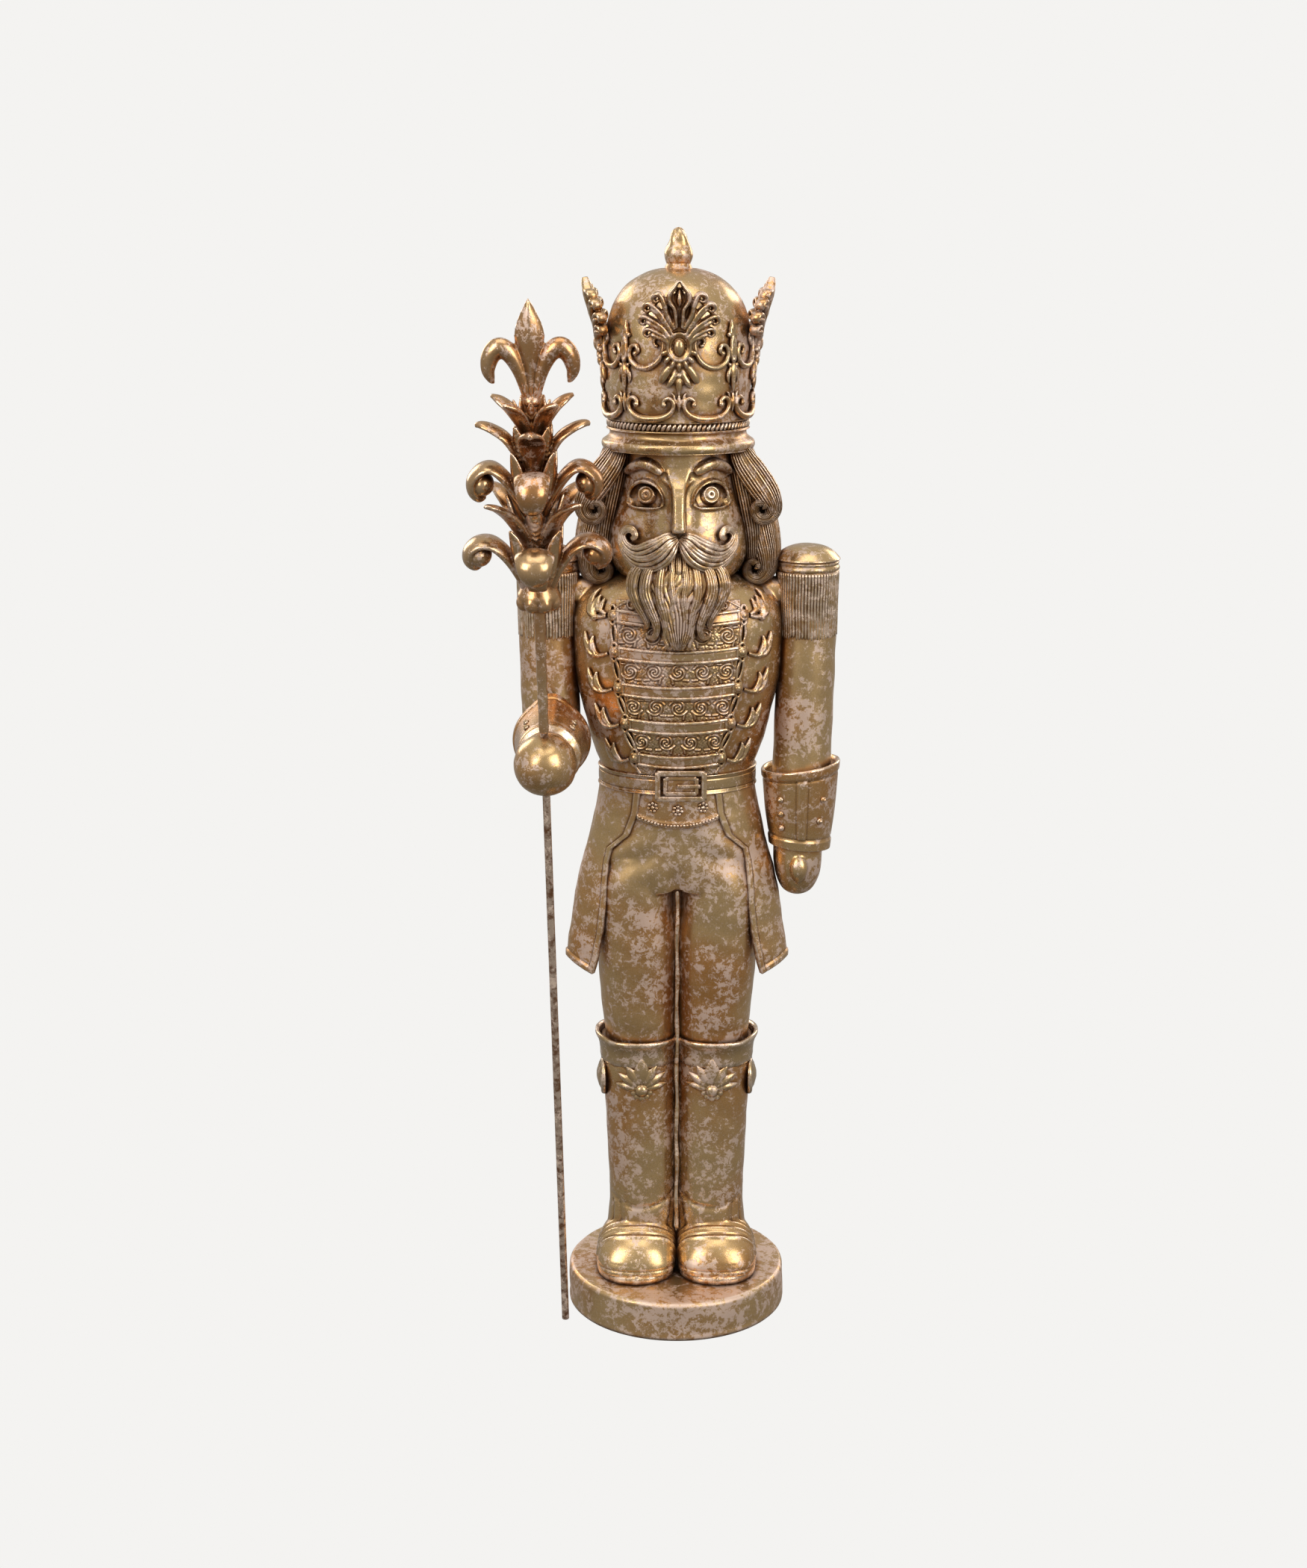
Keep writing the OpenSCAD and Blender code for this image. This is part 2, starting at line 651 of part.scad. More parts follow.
dome_h = 38;
function dome_radius(z) =
    let (t = max(0, (z - dome_z + dome_h) / dome_h))
    hat_r * pow(max(0, 1 - pow(t, 2.3)), 1 / 2.3);

module hat_crown() {
    color(gold) difference() {
        rotate_extrude($fn = 96) polygon(concat(
            [[0, brim_z + brim_h], [hat_r - 1.2, brim_z + brim_h], [hat_r - 1.2, rope_z + rope_h]],
            [for (i = [0:12]) let (z = dome_z - dome_h * (1 - sin(i * 7.2)))
                [dome_radius(z), z]],
            [[finial_r, dome_z], [0, dome_z]]));
        translate([0, 0, brim_z - 14]) cylinder(h = 28, r = peg_r);
        // lightening hollow of the casting
        translate([0, 0, body_z + 4]) cylinder(h = dome_z - dome_h - body_z, r = hat_r - 9);
    }
}

module hat_rope_band() {
    color(pale_gold) translate([0, 0, rope_z + 0.1]) rotate_extrude($fn = 96)
        translate([hat_r - 1.2, 0])
            polygon([[0, 0], [0.9, 0], [1.6, rope_h / 2 - 0.2], [0.9, rope_h - 0.4], [0, rope_h - 0.4]]);
}

finial_r = 7;

module hat_finial() {
    h = finial_h;
    color(gold) translate([0, 0, dome_z]) rotate_extrude()
        polygon([[0, 0], [finial_r - 0.5, 0], [finial_r - 0.7, h * 0.12], [finial_r - 0.2, h * 0.26],
                 [finial_r, h * 0.38], [finial_r - 0.8, h * 0.56], [finial_r - 3.2, h * 0.78],
                 [1.6, h * 0.96], [0, h]]);
}

// A point on the hat, lifted off its skin; azimuth 0 is the front
function on_hat(az, z, lift) =
    let (r = (z > dome_z - dome_h ? dome_radius(z) : hat_r) + lift)
    [r * sin(az), -r * cos(az), z];
function hat_normal(az) = [sin(az), -cos(az), 0];

palmette_z = body_z + 29;
palmette_lean = 7;
palmette_r = 2.4;                 // radius of its leaves

// Leafy palmette: nine leaves fanned round a domed gem, and three below it
module palmette() {
    gem(6);
    rotate([palmette_lean, 0, 0]) for (i = [-4:4])
        rotate([0, i * 24, 0]) translate([0, 0, 6.6]) petal(23 - abs(i) * 3, palmette_r);
    for (i = [-1:1])
        rotate([0, 180 + i * 34, 0]) translate([0, 0, 6.6]) petal(15 - abs(i) * 3, palmette_r - 0.2);
}

module crown_palmettes(turn) {
    color(pale_gold) for (a = [turn, turn + 180]) rotate([0, 0, a])
        translate([0, -hat_r - palmette_r - seat_gap, palmette_z]) palmette();
}

scroll_r = 1.5;
low_scroll_z = body_z + 8;
high_scroll_z = palmette_z - 12;

// C scroll as [degrees round the hat, height] steps: two curled ends joined by a sagging bow
function c_scroll(az0, az1, z_mid, drop, rise) = [for (k = [0:7])
    let (t = k / 7, a = az0 + (az1 - az0) * t)
    on_hat(a, z_mid - drop * sin(180 * t) + rise, scroll_r + seat_gap)];

module crown_scrolls() {
    color(pale_gold) {
        for (k = [0:7]) {
            points = c_scroll(k * 45 + 4, k * 45 + 41, low_scroll_z, 7, 3);
            strand(points, [for (p = points) unit([p[0], p[1], 0])],
                   [for (p = points) scroll_r], [for (p = points) scroll_r]);
        }
        for (k = [0:3], side = [-1, 1]) {
            points = c_scroll(k * 90 + side * 16, k * 90 + side * 37, high_scroll_z, 7, 3);
            strand(points, [for (p = points) unit([p[0], p[1], 0])],
                   [for (p = points) scroll_r], [for (p = points) scroll_r]);
        }
    }
}

module crown_pendants() {
    color(pale_gold) for (k = [0:3]) rotate([0, 0, 45 + 90 * k])
        translate([0, -hat_r - 1.9, high_scroll_z]) {
            translate([0, 0, -9]) petal(18, 1.8);
            translate([0, 0, 9.3]) petal(8, 1.5);
        }
}

// ---------- arms ----------

module epaulette_cap(left) {
    color(gold) mirrored(left) arm_place() rotate_extrude()
        polygon([[0, 0], [fringe_r, 0], [fringe_r + 0.3, 3], [fringe_r, 6], [fringe_r - 2.5, 7.6],
                 [fringe_r * 0.66, 11], [fringe_r * 0.33, 13.4], [0, cap_h]]);
}

module epaulette_fringe(left) {
    color(pale_gold) mirrored(left) difference() {
        arm_place() translate([0, 0, -fringe_h - seat_gap]) rotate_extrude()
            polygon([[sleeve_r + 0.05, 0], [fringe_r - 1.2, 0], [fringe_r, fringe_h * 0.3],
                     [fringe_r, fringe_h], [sleeve_r + 0.05, fringe_h]]);
        translate([chest_w / 4, 0, shoulder_z]) rotate([0, 90, 0])
            cylinder(h = shoulder_x - chest_w / 4, r = shoulder_boss_r + seat_gap);
        loft(grown(torso_sections, 0.3));
    }
}

module sleeve_left() {
    color(gold) difference() {
        arm_place() translate([0, 0, -wrist_l]) cylinder(h = wrist_l, r = sleeve_r);
        shoulder_peg();
        loft(grown(tail_sections, 0.3));
    }
}

module forearm_place() {
    translate([grip[0], 0, elbow_z]) rotate([90 + forearm_droop, 0, 0]) children();
}

forearm_r = 14.2;
fist_back = forearm_l - 19;         // elbow to the wrist of the bent arm

elbow_r = sleeve_r + 0.3;

module upper_arm_right() {
    mirror([1, 0, 0]) arm_place() translate([0, 0, -upper_arm_l]) cylinder(h = upper_arm_l, r = sleeve_r);
}

module sleeve_right() {
    color(gold) difference() {
        union() {
            upper_arm_right();
            translate([grip[0], 0, elbow_z]) sphere(r = elbow_r);
        }
        mirror([1, 0, 0]) shoulder_peg();
    }
}

module forearm_right() {
    color(gold) difference() {
        forearm_place() cylinder(h = fist_back, r = forearm_r);
        upper_arm_right();
        translate([grip[0], 0, elbow_z]) sphere(r = elbow_r);
    }
}

// A flared cuff along +Z, its rim at the top
module cuff_shape(inner_r, rim_r, end_r) {
    rotate_extrude()
        polygon([[inner_r, 0], [end_r, 0], [end_r + 0.4, 3], [rim_r, cuff_l - 1],
                 [rim_r - 0.8, cuff_l], [rim_r - 2, cuff_l - 0.6], [inner_r, cuff_l * 0.55]]);
}

module cuff_left() {
    color(gold) difference() {
        arm_place() translate([0, 0, -wrist_l - 3]) cuff_shape(sleeve_r + 0.05, cuff_rim_r, cuff_end_r);
        loft(grown(tail_sections, 0.3));
    }
}

cuff_right_l = 36;

module cuff_right() {
    color(gold) forearm_place() translate([0, 0, fist_back + 3]) mirror([0, 0, 1]) rotate_extrude()
        polygon([[forearm_r + 0.05, 3], [fist_r + 0.4, 0], [fist_r + 0.8, 3], [fist_r + 3, cuff_right_l - 1],
                 [fist_r + 2.2, cuff_right_l], [fist_r + 1, cuff_right_l - 0.6],
                 [forearm_r + 0.05, cuff_right_l * 0.55]]);
}

stud_r = 1.9;

// Studs stand round each cuff: [degrees round it, height on it]
module cuff_studs() {
    color(pale_gold) {
        arm_place() for (s = [[-25, 16], [10, 26], [12, 12], [60, 26], [60, 12]])
            rotate([0, 0, s[0]]) translate([0, -(cuff_end_r + s[1] * 0.1 + stud_r + 0.9), s[1] - wrist_l - 3])
                sphere(r = stud_r, $fn = 24);
        forearm_place() for (s = [[55, 12], [55, 24], [125, 12], [125, 24]])
            rotate([0, 0, s[0]]) translate([0, -(fist_r + s[1] * 0.065 + stud_r + 0.9), fist_back + 3 - s[1]])
                sphere(r = stud_r, $fn = 24);
    }
}

module hand_left() {
    r = sleeve_r - 2.6;
    color(gold) arm_place() translate([0, 0, -wrist_l - hand_h]) rotate_extrude()
        polygon([[0, 0], [3, 0.4], [r * 0.6, 3.4], [r * 0.85, 8], [r, 15], [r + 0.2, 22], [r - 0.4, hand_h], [0, hand_h]]);
}

module fist_right() {
    color(gold) difference() {
        forearm_place() translate([0, 0, fist_back]) rotate_extrude()
            polygon([[0, 0], [forearm_r - 0.6, 0], [fist_r - 0.6, 7], [fist_r, 16], [fist_r - 0.8, 23],
                     [fist_r * 0.8, 29], [fist_r * 0.5, 33.4], [0, 35.5]]);
        along_sceptre() translate([0, 0, grip_l - 60]) cylinder(h = 120, r = rod_d / 2 + rod_clearance);
    }
}

module joining_pegs() {
    color("#c9a777") {
        leg_pegs();
        for (side = [-1, 1])
            translate([side * leg_axis[0], leg_axis[1], boot_top - 14]) cylinder(h = 28, r = peg_r);
        for (z = [waist_z - 16, neck_z - 16]) translate([0, 0, z]) cylinder(h = 32, r = peg_r);
        translate([0, 0, brim_z - 14]) cylinder(h = 28, r = peg_r);
        for (left = [true, false]) mirrored(left) shoulder_peg();
    }
}

// ---------- sceptre ----------

// Carries a piece drawn along +Z from the foot of the rod to its leaning place
module along_sceptre() {
    translate(grip) rotate([lean_forward, -lean_out, 0]) translate([0, 0, -grip_l]) children();
}

socket_l = 12;

module sceptre_rod() {
    color("#7c5432") along_sceptre() cylinder(h = tier_base + socket_l, r = rod_d / 2);
}

// Radius of the cast stem along the rod, from the fist up through the cup that carries the leaves
stem_profile = [
    [stem_from, rod_d / 2 + 0.9], [tier_base - 16, rod_d / 2 + 0.6], [tier_base - 12, rod_d / 2 + 1.5],
    [tier_base - 7, 9], [tier_base, 11], [tier_base + 5, 9], [tier_base + 12, 7],
    [tier_base + 60, 6], [tier_base + 96, 4.5]
];
stem_top = tier_base + 96;

module sceptre_stem() {
    color(copper_gold) along_sceptre() difference() {
        rotate_extrude() polygon(concat(
            [[0, stem_from]], [for (p = stem_profile) [p[1], p[0]]], [[0, stem_top]]));
        cylinder(h = tier_base + socket_l, r = rod_d / 2 + 0.06);
    }
}

// A leaf that leaves the stem at height z, swings out to reach and curls over by drop
module leaf(z, reach, rise, drop, half_w) {
    steps = 7;
    root_r = lookup(z, stem_profile) + 2.1;
    points = [for (k = [0:steps])
        let (t = k / steps, out = root_r + (reach - root_r) * sin(90 * t))
        [0, -out, z + rise * sin(115 * t) - drop * t * t * t]];
    strand(points, [for (p = points) [0, -0.45, 0.9]],
           [for (k = [0:steps]) half_w * (0.45 + 0.9 * sin(180 * (k / steps * 0.8 + 0.1)))],
           [for (k = [0:steps]) 2.2 - 0.8 * k / steps]);
}

module leaf_tier(z, count, turn, reach, rise, drop, half_w) {
    color(copper_gold) along_sceptre() for (i = [0:count - 1])
        rotate([0, 0, turn + i * 360 / count]) leaf(z, reach, rise, drop, half_w);
}

module fleur_de_lis() {
    z0 = stem_top + seat_gap;
    tip = sceptre_l - z0;
    blade = [[0, 4.4], [0.1, 4.6], [0.25, 4], [0.45, 6.6], [0.65, 7], [0.82, 4.6], [0.94, 2], [1, 0.6]];
    arm = [[7.4, 3, 2], [8.6, 11, 2.2], [12, 18.5, 2.4], [17, 21.5, 3.2], [21.5, 19, 3], [23, 13, 2.4], [22, 7, 1.4]];
    color(copper_gold) along_sceptre() translate([0, 0, z0]) {
        strand([for (p = blade) [0, 0, tip * p[0]]], [for (p = blade) [0, -1, 0]],
               [for (p = blade) p[1]], [for (p = blade) p[1] * 0.6]);
        for (side = [-1, 1])
            strand([for (p = arm) [side * p[0], 0, p[1]]], [for (p = arm) [0, -1, 0]],
                   [for (p = arm) p[2]], [for (p = arm) 2.8]);
    }
}

base();
felt_disc();
boot(true);  // boot_left
boot(false);  // boot_right
sole(true);  // sole_left
sole(false);  // sole_right
boot_cuff(true);  // boot_cuff_left
boot_cuff(false);  // boot_cuff_right
boot_palmette(true);  // boot_palmette_left
boot_palmette(false);  // boot_palmette_right
boot_boss(true);  // boot_boss_left
boot_boss(false);  // boot_boss_right
trousers();
coat_tail(true);  // coat_tail_left
coat_tail(false);  // coat_tail_right
waistcoat_hem();
torso();
breast_panel();
frog_bars();
frog_cords();
frog_tassels();
frog_knots();
belt();
buckle();
collar();
head();
moustache();
beard();
hair(true);  // hair_left
hair(false);  // hair_right
hair_back();
hat_brim();
hat_crown();
hat_rope_band();
hat_finial();
crown_palmettes(0);  // crown_palmettes_front_back
crown_palmettes(90);  // crown_palmettes_sides
crown_scrolls();
crown_pendants();
epaulette_cap(true);  // epaulette_cap_left
epaulette_cap(false);  // epaulette_cap_right
epaulette_fringe(true);  // epaulette_fringe_left
epaulette_fringe(false);  // epaulette_fringe_right
sleeve_left();
sleeve_right();
forearm_right();
cuff_left();
cuff_right();
cuff_studs();
hand_left();
fist_right();
joining_pegs();
sceptre_rod();
sceptre_stem();
leaf_tier(tier_base + 8, 4, 0, leaf_reach + 1, 26, 15, 6);  // leaf_tier_1
leaf_tier(tier_base + 32, 4, 45, leaf_reach - 8, 16, 2, 5);  // leaf_tier_2
leaf_tier(tier_base + 45, 4, 0, leaf_reach - 2, 28, 16, 5.6);  // leaf_tier_3
leaf_tier(tier_base + 68, 4, 0, leaf_reach - 7, 18, 2, 5.4);  // leaf_tier_4
leaf_tier(tier_base + 85, 5, 18, leaf_reach - 13, 15, 2, 4);  // leaf_tier_5
fleur_de_lis();
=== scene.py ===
# Gilded nutcracker guard with a leafed sceptre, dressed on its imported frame. Blender 4.5, works in millimetres.
import json
import math

import bpy
import numpy as np
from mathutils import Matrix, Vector
from mathutils.kdtree import KDTree


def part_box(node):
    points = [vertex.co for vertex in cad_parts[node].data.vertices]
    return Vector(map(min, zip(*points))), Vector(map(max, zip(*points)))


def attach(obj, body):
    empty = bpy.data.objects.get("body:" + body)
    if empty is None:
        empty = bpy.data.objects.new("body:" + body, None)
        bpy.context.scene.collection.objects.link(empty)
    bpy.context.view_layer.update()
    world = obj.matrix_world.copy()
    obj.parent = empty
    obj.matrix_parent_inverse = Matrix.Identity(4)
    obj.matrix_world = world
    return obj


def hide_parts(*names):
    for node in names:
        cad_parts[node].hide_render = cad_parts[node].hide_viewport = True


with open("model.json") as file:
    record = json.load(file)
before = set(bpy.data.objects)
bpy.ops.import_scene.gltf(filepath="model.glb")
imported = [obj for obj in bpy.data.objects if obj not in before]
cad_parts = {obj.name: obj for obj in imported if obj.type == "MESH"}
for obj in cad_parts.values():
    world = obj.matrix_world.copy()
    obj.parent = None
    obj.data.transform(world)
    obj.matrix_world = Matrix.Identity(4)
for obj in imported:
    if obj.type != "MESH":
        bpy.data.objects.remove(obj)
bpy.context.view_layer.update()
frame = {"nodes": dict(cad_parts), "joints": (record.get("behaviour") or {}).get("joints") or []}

mm = 0.001
tau = 2 * math.pi


def box(name):
    low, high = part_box(name)
    return np.array(low) / mm, np.array(high) / mm


def top(name):
    return box(name)[1][2]


def foot(name):
    return box(name)[0][2]


# heights that the frame gives
plinthTop = foot("sole_left")
soleTop = foot("boot_left")
bootTop = top("boot_cuff_left")
waist = foot("torso")
beltTop = top("belt")
neck = foot("head")
brim = foot("hat_brim")
capBand = foot("hat_crown")
domeTop = top("hat_crown")
tipTop = top("hat_finial")
fist = (box("fist_right")[0] + box("fist_right")[1]) / 2


# shaping helpers
def unit(v):
    v = np.asarray(v, float)
    return v / np.maximum(np.linalg.norm(v, axis=-1, keepdims=True), 1e-9)


def curve(points, count):  # smooth path through the points, every column is eased
    p = np.array(points, float)
    p = np.vstack([2 * p[0] - p[1], p, 2 * p[-1] - p[-2]])
    t = np.linspace(0, len(p) - 3 - 1e-9, count)
    i = t.astype(int)
    f = (t - i)[:, None]
    a, b, c, d = p[i], p[i + 1], p[i + 2], p[i + 3]
    return 0.5 * (2 * b + (c - a) * f + (2 * a - 5 * b + 4 * c - d) * f**2 + (3 * b - a - 3 * c + d) * f**3)


def ease(a, b, x):
    t = np.clip((x - a) / (b - a), 0, 1)
    return t * t * (3 - 2 * t)


def ripple(co, size, seed):  # cheap smooth wander used on hand-finished surfaces
    p = co / size + seed
    return (np.sin(p[:, 0] * 1.7 + 2 * np.sin(p[:, 2] * 0.9)) * np.sin(p[:, 1] * 1.3 + p[:, 2])
            + np.sin(p[:, 2] * 2.1 + p[:, 0] * 0.6)) / 2


class Clay:  # closed shapes that become one mesh
    def __init__(self):
        self.verts, self.faces, self.size = [], [], 0

    def rings(self, rows):  # closed loops, one after another, with both ends shut
        rows = np.asarray(rows, float)
        n, m = rows.shape[:2]
        a = (np.arange(n - 1)[:, None] * m + np.arange(m)).ravel()
        b = (np.arange(n - 1)[:, None] * m + (np.arange(m) + 1) % m).ravel()
        quads = np.stack([a, b, b + m, a + m], 1)
        v = rows.reshape(-1, 3)
        v = v - v.mean(0)
        volume = (v[quads[:, 0]] * np.cross(v[quads[:, 1]], v[quads[:, 2]])).sum() + (v[quads[:, 0]]
                * np.cross(v[quads[:, 2]], v[quads[:, 3]])).sum()
        first, last = np.arange(m)[::-1], np.arange(m) + (n - 1) * m
        for cap in (first, last):
            volume += (v[cap[0]] * np.cross(v[cap[1:-1]], v[cap[2:]])).sum()
        if volume < 0:
            quads, first, last = quads[:, ::-1], first[::-1], last[::-1]
        self.verts.append(rows.reshape(-1, 3))
        self.faces += [tuple(q) for q in (quads + self.size).tolist()]
        self.faces += [tuple((first + self.size).tolist()), tuple((last + self.size).tolist())]
        self.size += n * m
        return self

    def sweep(self, path, up, wide, thick, sides=12, cup=0.0, grooves=0, depth=0.0, power=2.0):
        # a blade or cord along a path: half width and half thickness vary, the upper side may be ribbed
        path = np.asarray(path, float)[:, :3]
        n = len(path)
        ahead = unit(np.gradient(path, axis=0))
        up = np.broadcast_to(np.asarray(up, float), (n, 3))
        side = unit(np.cross(ahead, up))
        lift = np.cross(side, ahead)
        wide, thick = np.broadcast_to(wide, n)[:, None], np.broadcast_to(thick, n)[:, None]
        a = np.arange(sides) / sides * tau
        u = np.sign(np.cos(a)) * np.abs(np.cos(a)) ** (2 / power)
        v = np.sign(np.sin(a)) * np.abs(np.sin(a)) ** (2 / power)
        rib = depth * np.abs(np.cos(grooves * math.pi * u / 2)) * (v > -0.2) if grooves else 0 * u
        high = thick * (v + rib) + cup * wide * (u * u)
        return self.rings(path[:, None] + side[:, None] * (wide * u)[..., None]
                          + lift[:, None] * high[..., None])

    def lathe(self, profile, centre=(0, 0, 0), sides=64, turn=None):
        # profile rows are (radius, height); turn maps the shape to its own axes
        p = np.asarray(profile, float)
        a = np.arange(sides) / sides * tau
        rows = np.stack([p[:, :1] * np.cos(a), p[:, :1] * np.sin(a), np.repeat(p[:, 1:2], sides, 1)], -1)
        if turn is not None:
            rows = rows @ np.asarray(turn, float)
        return self.rings(rows + np.asarray(centre, float))

    def ball(self, centre, radii, sides=24):
        t = np.linspace(0.04, math.pi - 0.04, max(8, sides // 2))
        radii = np.broadcast_to(radii, 3).astype(float)
        a = np.arange(sides) / sides * tau
        rows = np.stack([np.sin(t)[:, None] * np.cos(a) * radii[0], np.sin(t)[:, None] * np.sin(a) * radii[1],
                         np.repeat(np.cos(t)[:, None], sides, 1) * radii[2]], -1)
        return self.rings(rows + np.asarray(centre, float))

    def mirror(self, source):  # the same shapes on the other side
        self.verts += [v * [-1, 1, 1] for v in source.verts]
        self.faces += [tuple(i + self.size for i in reversed(f)) for f in source.faces]
        self.size += source.size
        return self

    def include(self, source):  # the same shapes where they are
        self.verts += source.verts
        self.faces += [tuple(i + self.size for i in f) for f in source.faces]
        self.size += source.size
        return self

    def moved(self, how):  # every point through a function
        self.verts = [how(np.concatenate(self.verts))]
        return self

    def object(self, name):
        mesh = bpy.data.meshes.new(name)
        mesh.from_pydata((np.concatenate(self.verts) * mm).tolist(), [], self.faces)
        mesh.update()
        mesh.shade_smooth()
        made = bpy.data.objects.new(name, mesh)
        bpy.context.scene.collection.objects.link(made)
        return made


class Skin:  # a body of stacked oval sections, rows are (z, centre x, centre y, half width, half depth)
    def __init__(self, sections, power=2.0):
        rows = curve(sorted(sections), 30 * len(sections))
        self.rows, self.power = rows, power

    def row(self, z):
        return [np.interp(z, self.rows[:, 0], self.rows[:, k]) for k in range(1, 5)]

    def around(self, angle, z, lift=0.0):  # angle 0 faces forward, a quarter turn faces +x
        cx, cy, rx, ry = self.row(z)
        s, c, e = np.sin(angle), np.cos(angle), 2 / self.power
        x = cx + (rx + lift) * np.sign(s) * np.abs(s) ** e
        y = cy - (ry + lift) * np.sign(c) * np.abs(c) ** e
        return np.stack(np.broadcast_arrays(x, y, z), -1)

    def front(self, x, z, lift=0.0):
        cx, cy, rx, ry = self.row(z)
        u = np.clip(np.abs(x - cx) / (rx + lift), 0, 0.995)
        y = cy - (ry + lift) * (1 - u**self.power) ** (1 / self.power)
        return np.stack(np.broadcast_arrays(x, y, z), -1)

    def normal(self, x, z):
        d = 0.4
        a = self.front(x + d, z) - self.front(x - d, z)
        b = self.front(x, z + d) - self.front(x, z - d)
        return unit(np.cross(a, b))

    def solid(self, clay, low, high, steps=60, sides=96):
        a = np.arange(sides) / sides * tau
        clay.rings(np.array([self.around(a, z) for z in np.linspace(low, high, steps)]))
        return clay


def plainMesh(made):  # what the modifiers make becomes the mesh itself
    result = bpy.data.meshes.new_from_object(made.evaluated_get(bpy.context.evaluated_depsgraph_get()))
    made.modifiers.clear()
    old, made.data = made.data, result
    bpy.data.meshes.remove(old)
    return made


def cast(clay, name, voxel=0.7, soften=2):  # melts overlapping shapes into one casting
    made = clay.object(name)
    melt = made.modifiers.new("melt", "REMESH")
    melt.mode, melt.voxel_size, melt.use_smooth_shade = "VOXEL", voxel * mm, True
    if soften:
        smooth = made.modifiers.new("soften", "SMOOTH")
        smooth.factor, smooth.iterations = 0.5, soften
    return plainMesh(made)


def carve(made, depth):  # moves each point along its normal by depth(points, normals)
    n = len(made.data.vertices)
    co, nor = np.zeros(n * 3, np.float32), np.zeros(n * 3, np.float32)
    made.data.vertices.foreach_get("co", co)
    made.data.vertex_normals.foreach_get("vector", nor)
    co, nor = co.reshape(-1, 3).astype(float) / mm, nor.reshape(-1, 3).astype(float)
    co += nor * depth(co, nor)[:, None]
    made.data.vertices.foreach_set("co", (co * mm).astype(np.float32).ravel())
    made.data.update()
    return made


def settle(made, material, body="figure", stands=()):
    made.data.materials.clear()
    made.data.materials.append(material)
    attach(made, body)
    if stands:
        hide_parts(*stands)
    return made


def spiral(centre, start, turns, radius, inner, count=28):  # flat scroll in x and z, it winds inwards
    t = np.linspace(0, 1, count)
    a = start + turns * tau * t
    r = radius + (inner - radius) * t**0.8
    return np.stack([centre[0] + r * np.cos(a), centre[1] + r * np.sin(a)], -1)


# materials
class Wire:  # a socket that does sums
    def __init__(self, bench, socket):
        self.bench, self.socket = bench, socket

    def sum(self, what, other, swap=False):
        pair = {0: other, 1: self} if swap else {0: self, 1: other}
        return self.bench.node("Math", {"operation": what}, pair)

    def __add__(self, other):
        return self.sum("ADD", other)

    def __sub__(self, other):
        return self.sum("SUBTRACT", other)

    def __rsub__(self, other):
        return self.sum("SUBTRACT", other, True)

    def __mul__(self, other):
        return self.sum("MULTIPLY", other)


class Bench:  # the shader nodes of one material or of the world
    def __init__(self, owner):
        self.owner = owner
        owner.use_nodes = True
        self.tree = owner.node_tree
        self.tree.nodes.clear()

    def node(self, kind, settings=None, inputs=None, out=0):
        made = self.tree.nodes.new("ShaderNode" + kind)
        for key, value in (settings or {}).items():
            setattr(made, key, value)
        for key, value in (inputs or {}).items():
            socket = made.inputs[key]
            if isinstance(value, Wire):
                self.tree.links.new(value.socket, socket)
            else:
                socket.default_value = value
        return Wire(self, made.outputs[out])

    def noise(self, where, scale, detail=3.0, rough=0.5, warp=0.0):
        return self.node("TexNoise", None, {"Vector": where, "Scale": scale, "Detail": detail,
                                            "Roughness": rough, "Distortion": warp})

    def step(self, value, low, high):  # 0 below low, 1 above high
        return self.node("MapRange", {"interpolation_type": "SMOOTHSTEP"},
                         {"Value": value, "From Min": low, "From Max": high})

    def mix(self, amount, a, b):
        return self.node("Mix", {"data_type": "RGBA"}, {0: amount, 6: a, 7: b}, out=2)

    def output(self, shader, kind="Material"):
        end = self.tree.nodes.new("ShaderNodeOutput" + kind)
        self.tree.links.new(shader.socket, end.inputs["Surface"])
        return self.owner

    def finish(self, inputs):
        return self.output(self.node("BsdfPrincipled", None, inputs))


# colours of the gilding: the deep colour is the near-black used for the dark grain and for the painted shade in
# hollows and grooves, the edge colour is the pale tone of rubbed ridges and of their painted highlight
gold = {
    "olive": (0.600, 0.400, 0.185, 1), "amber": (0.560, 0.270, 0.085, 1), "deep": (0.070, 0.028, 0.010, 1),
    "leaf": (0.690, 0.525, 0.435, 1), "edge": (0.860, 0.670, 0.510, 1), "coverage": 0.0, "warm": 0.0,
        "rough": 0.27,
}


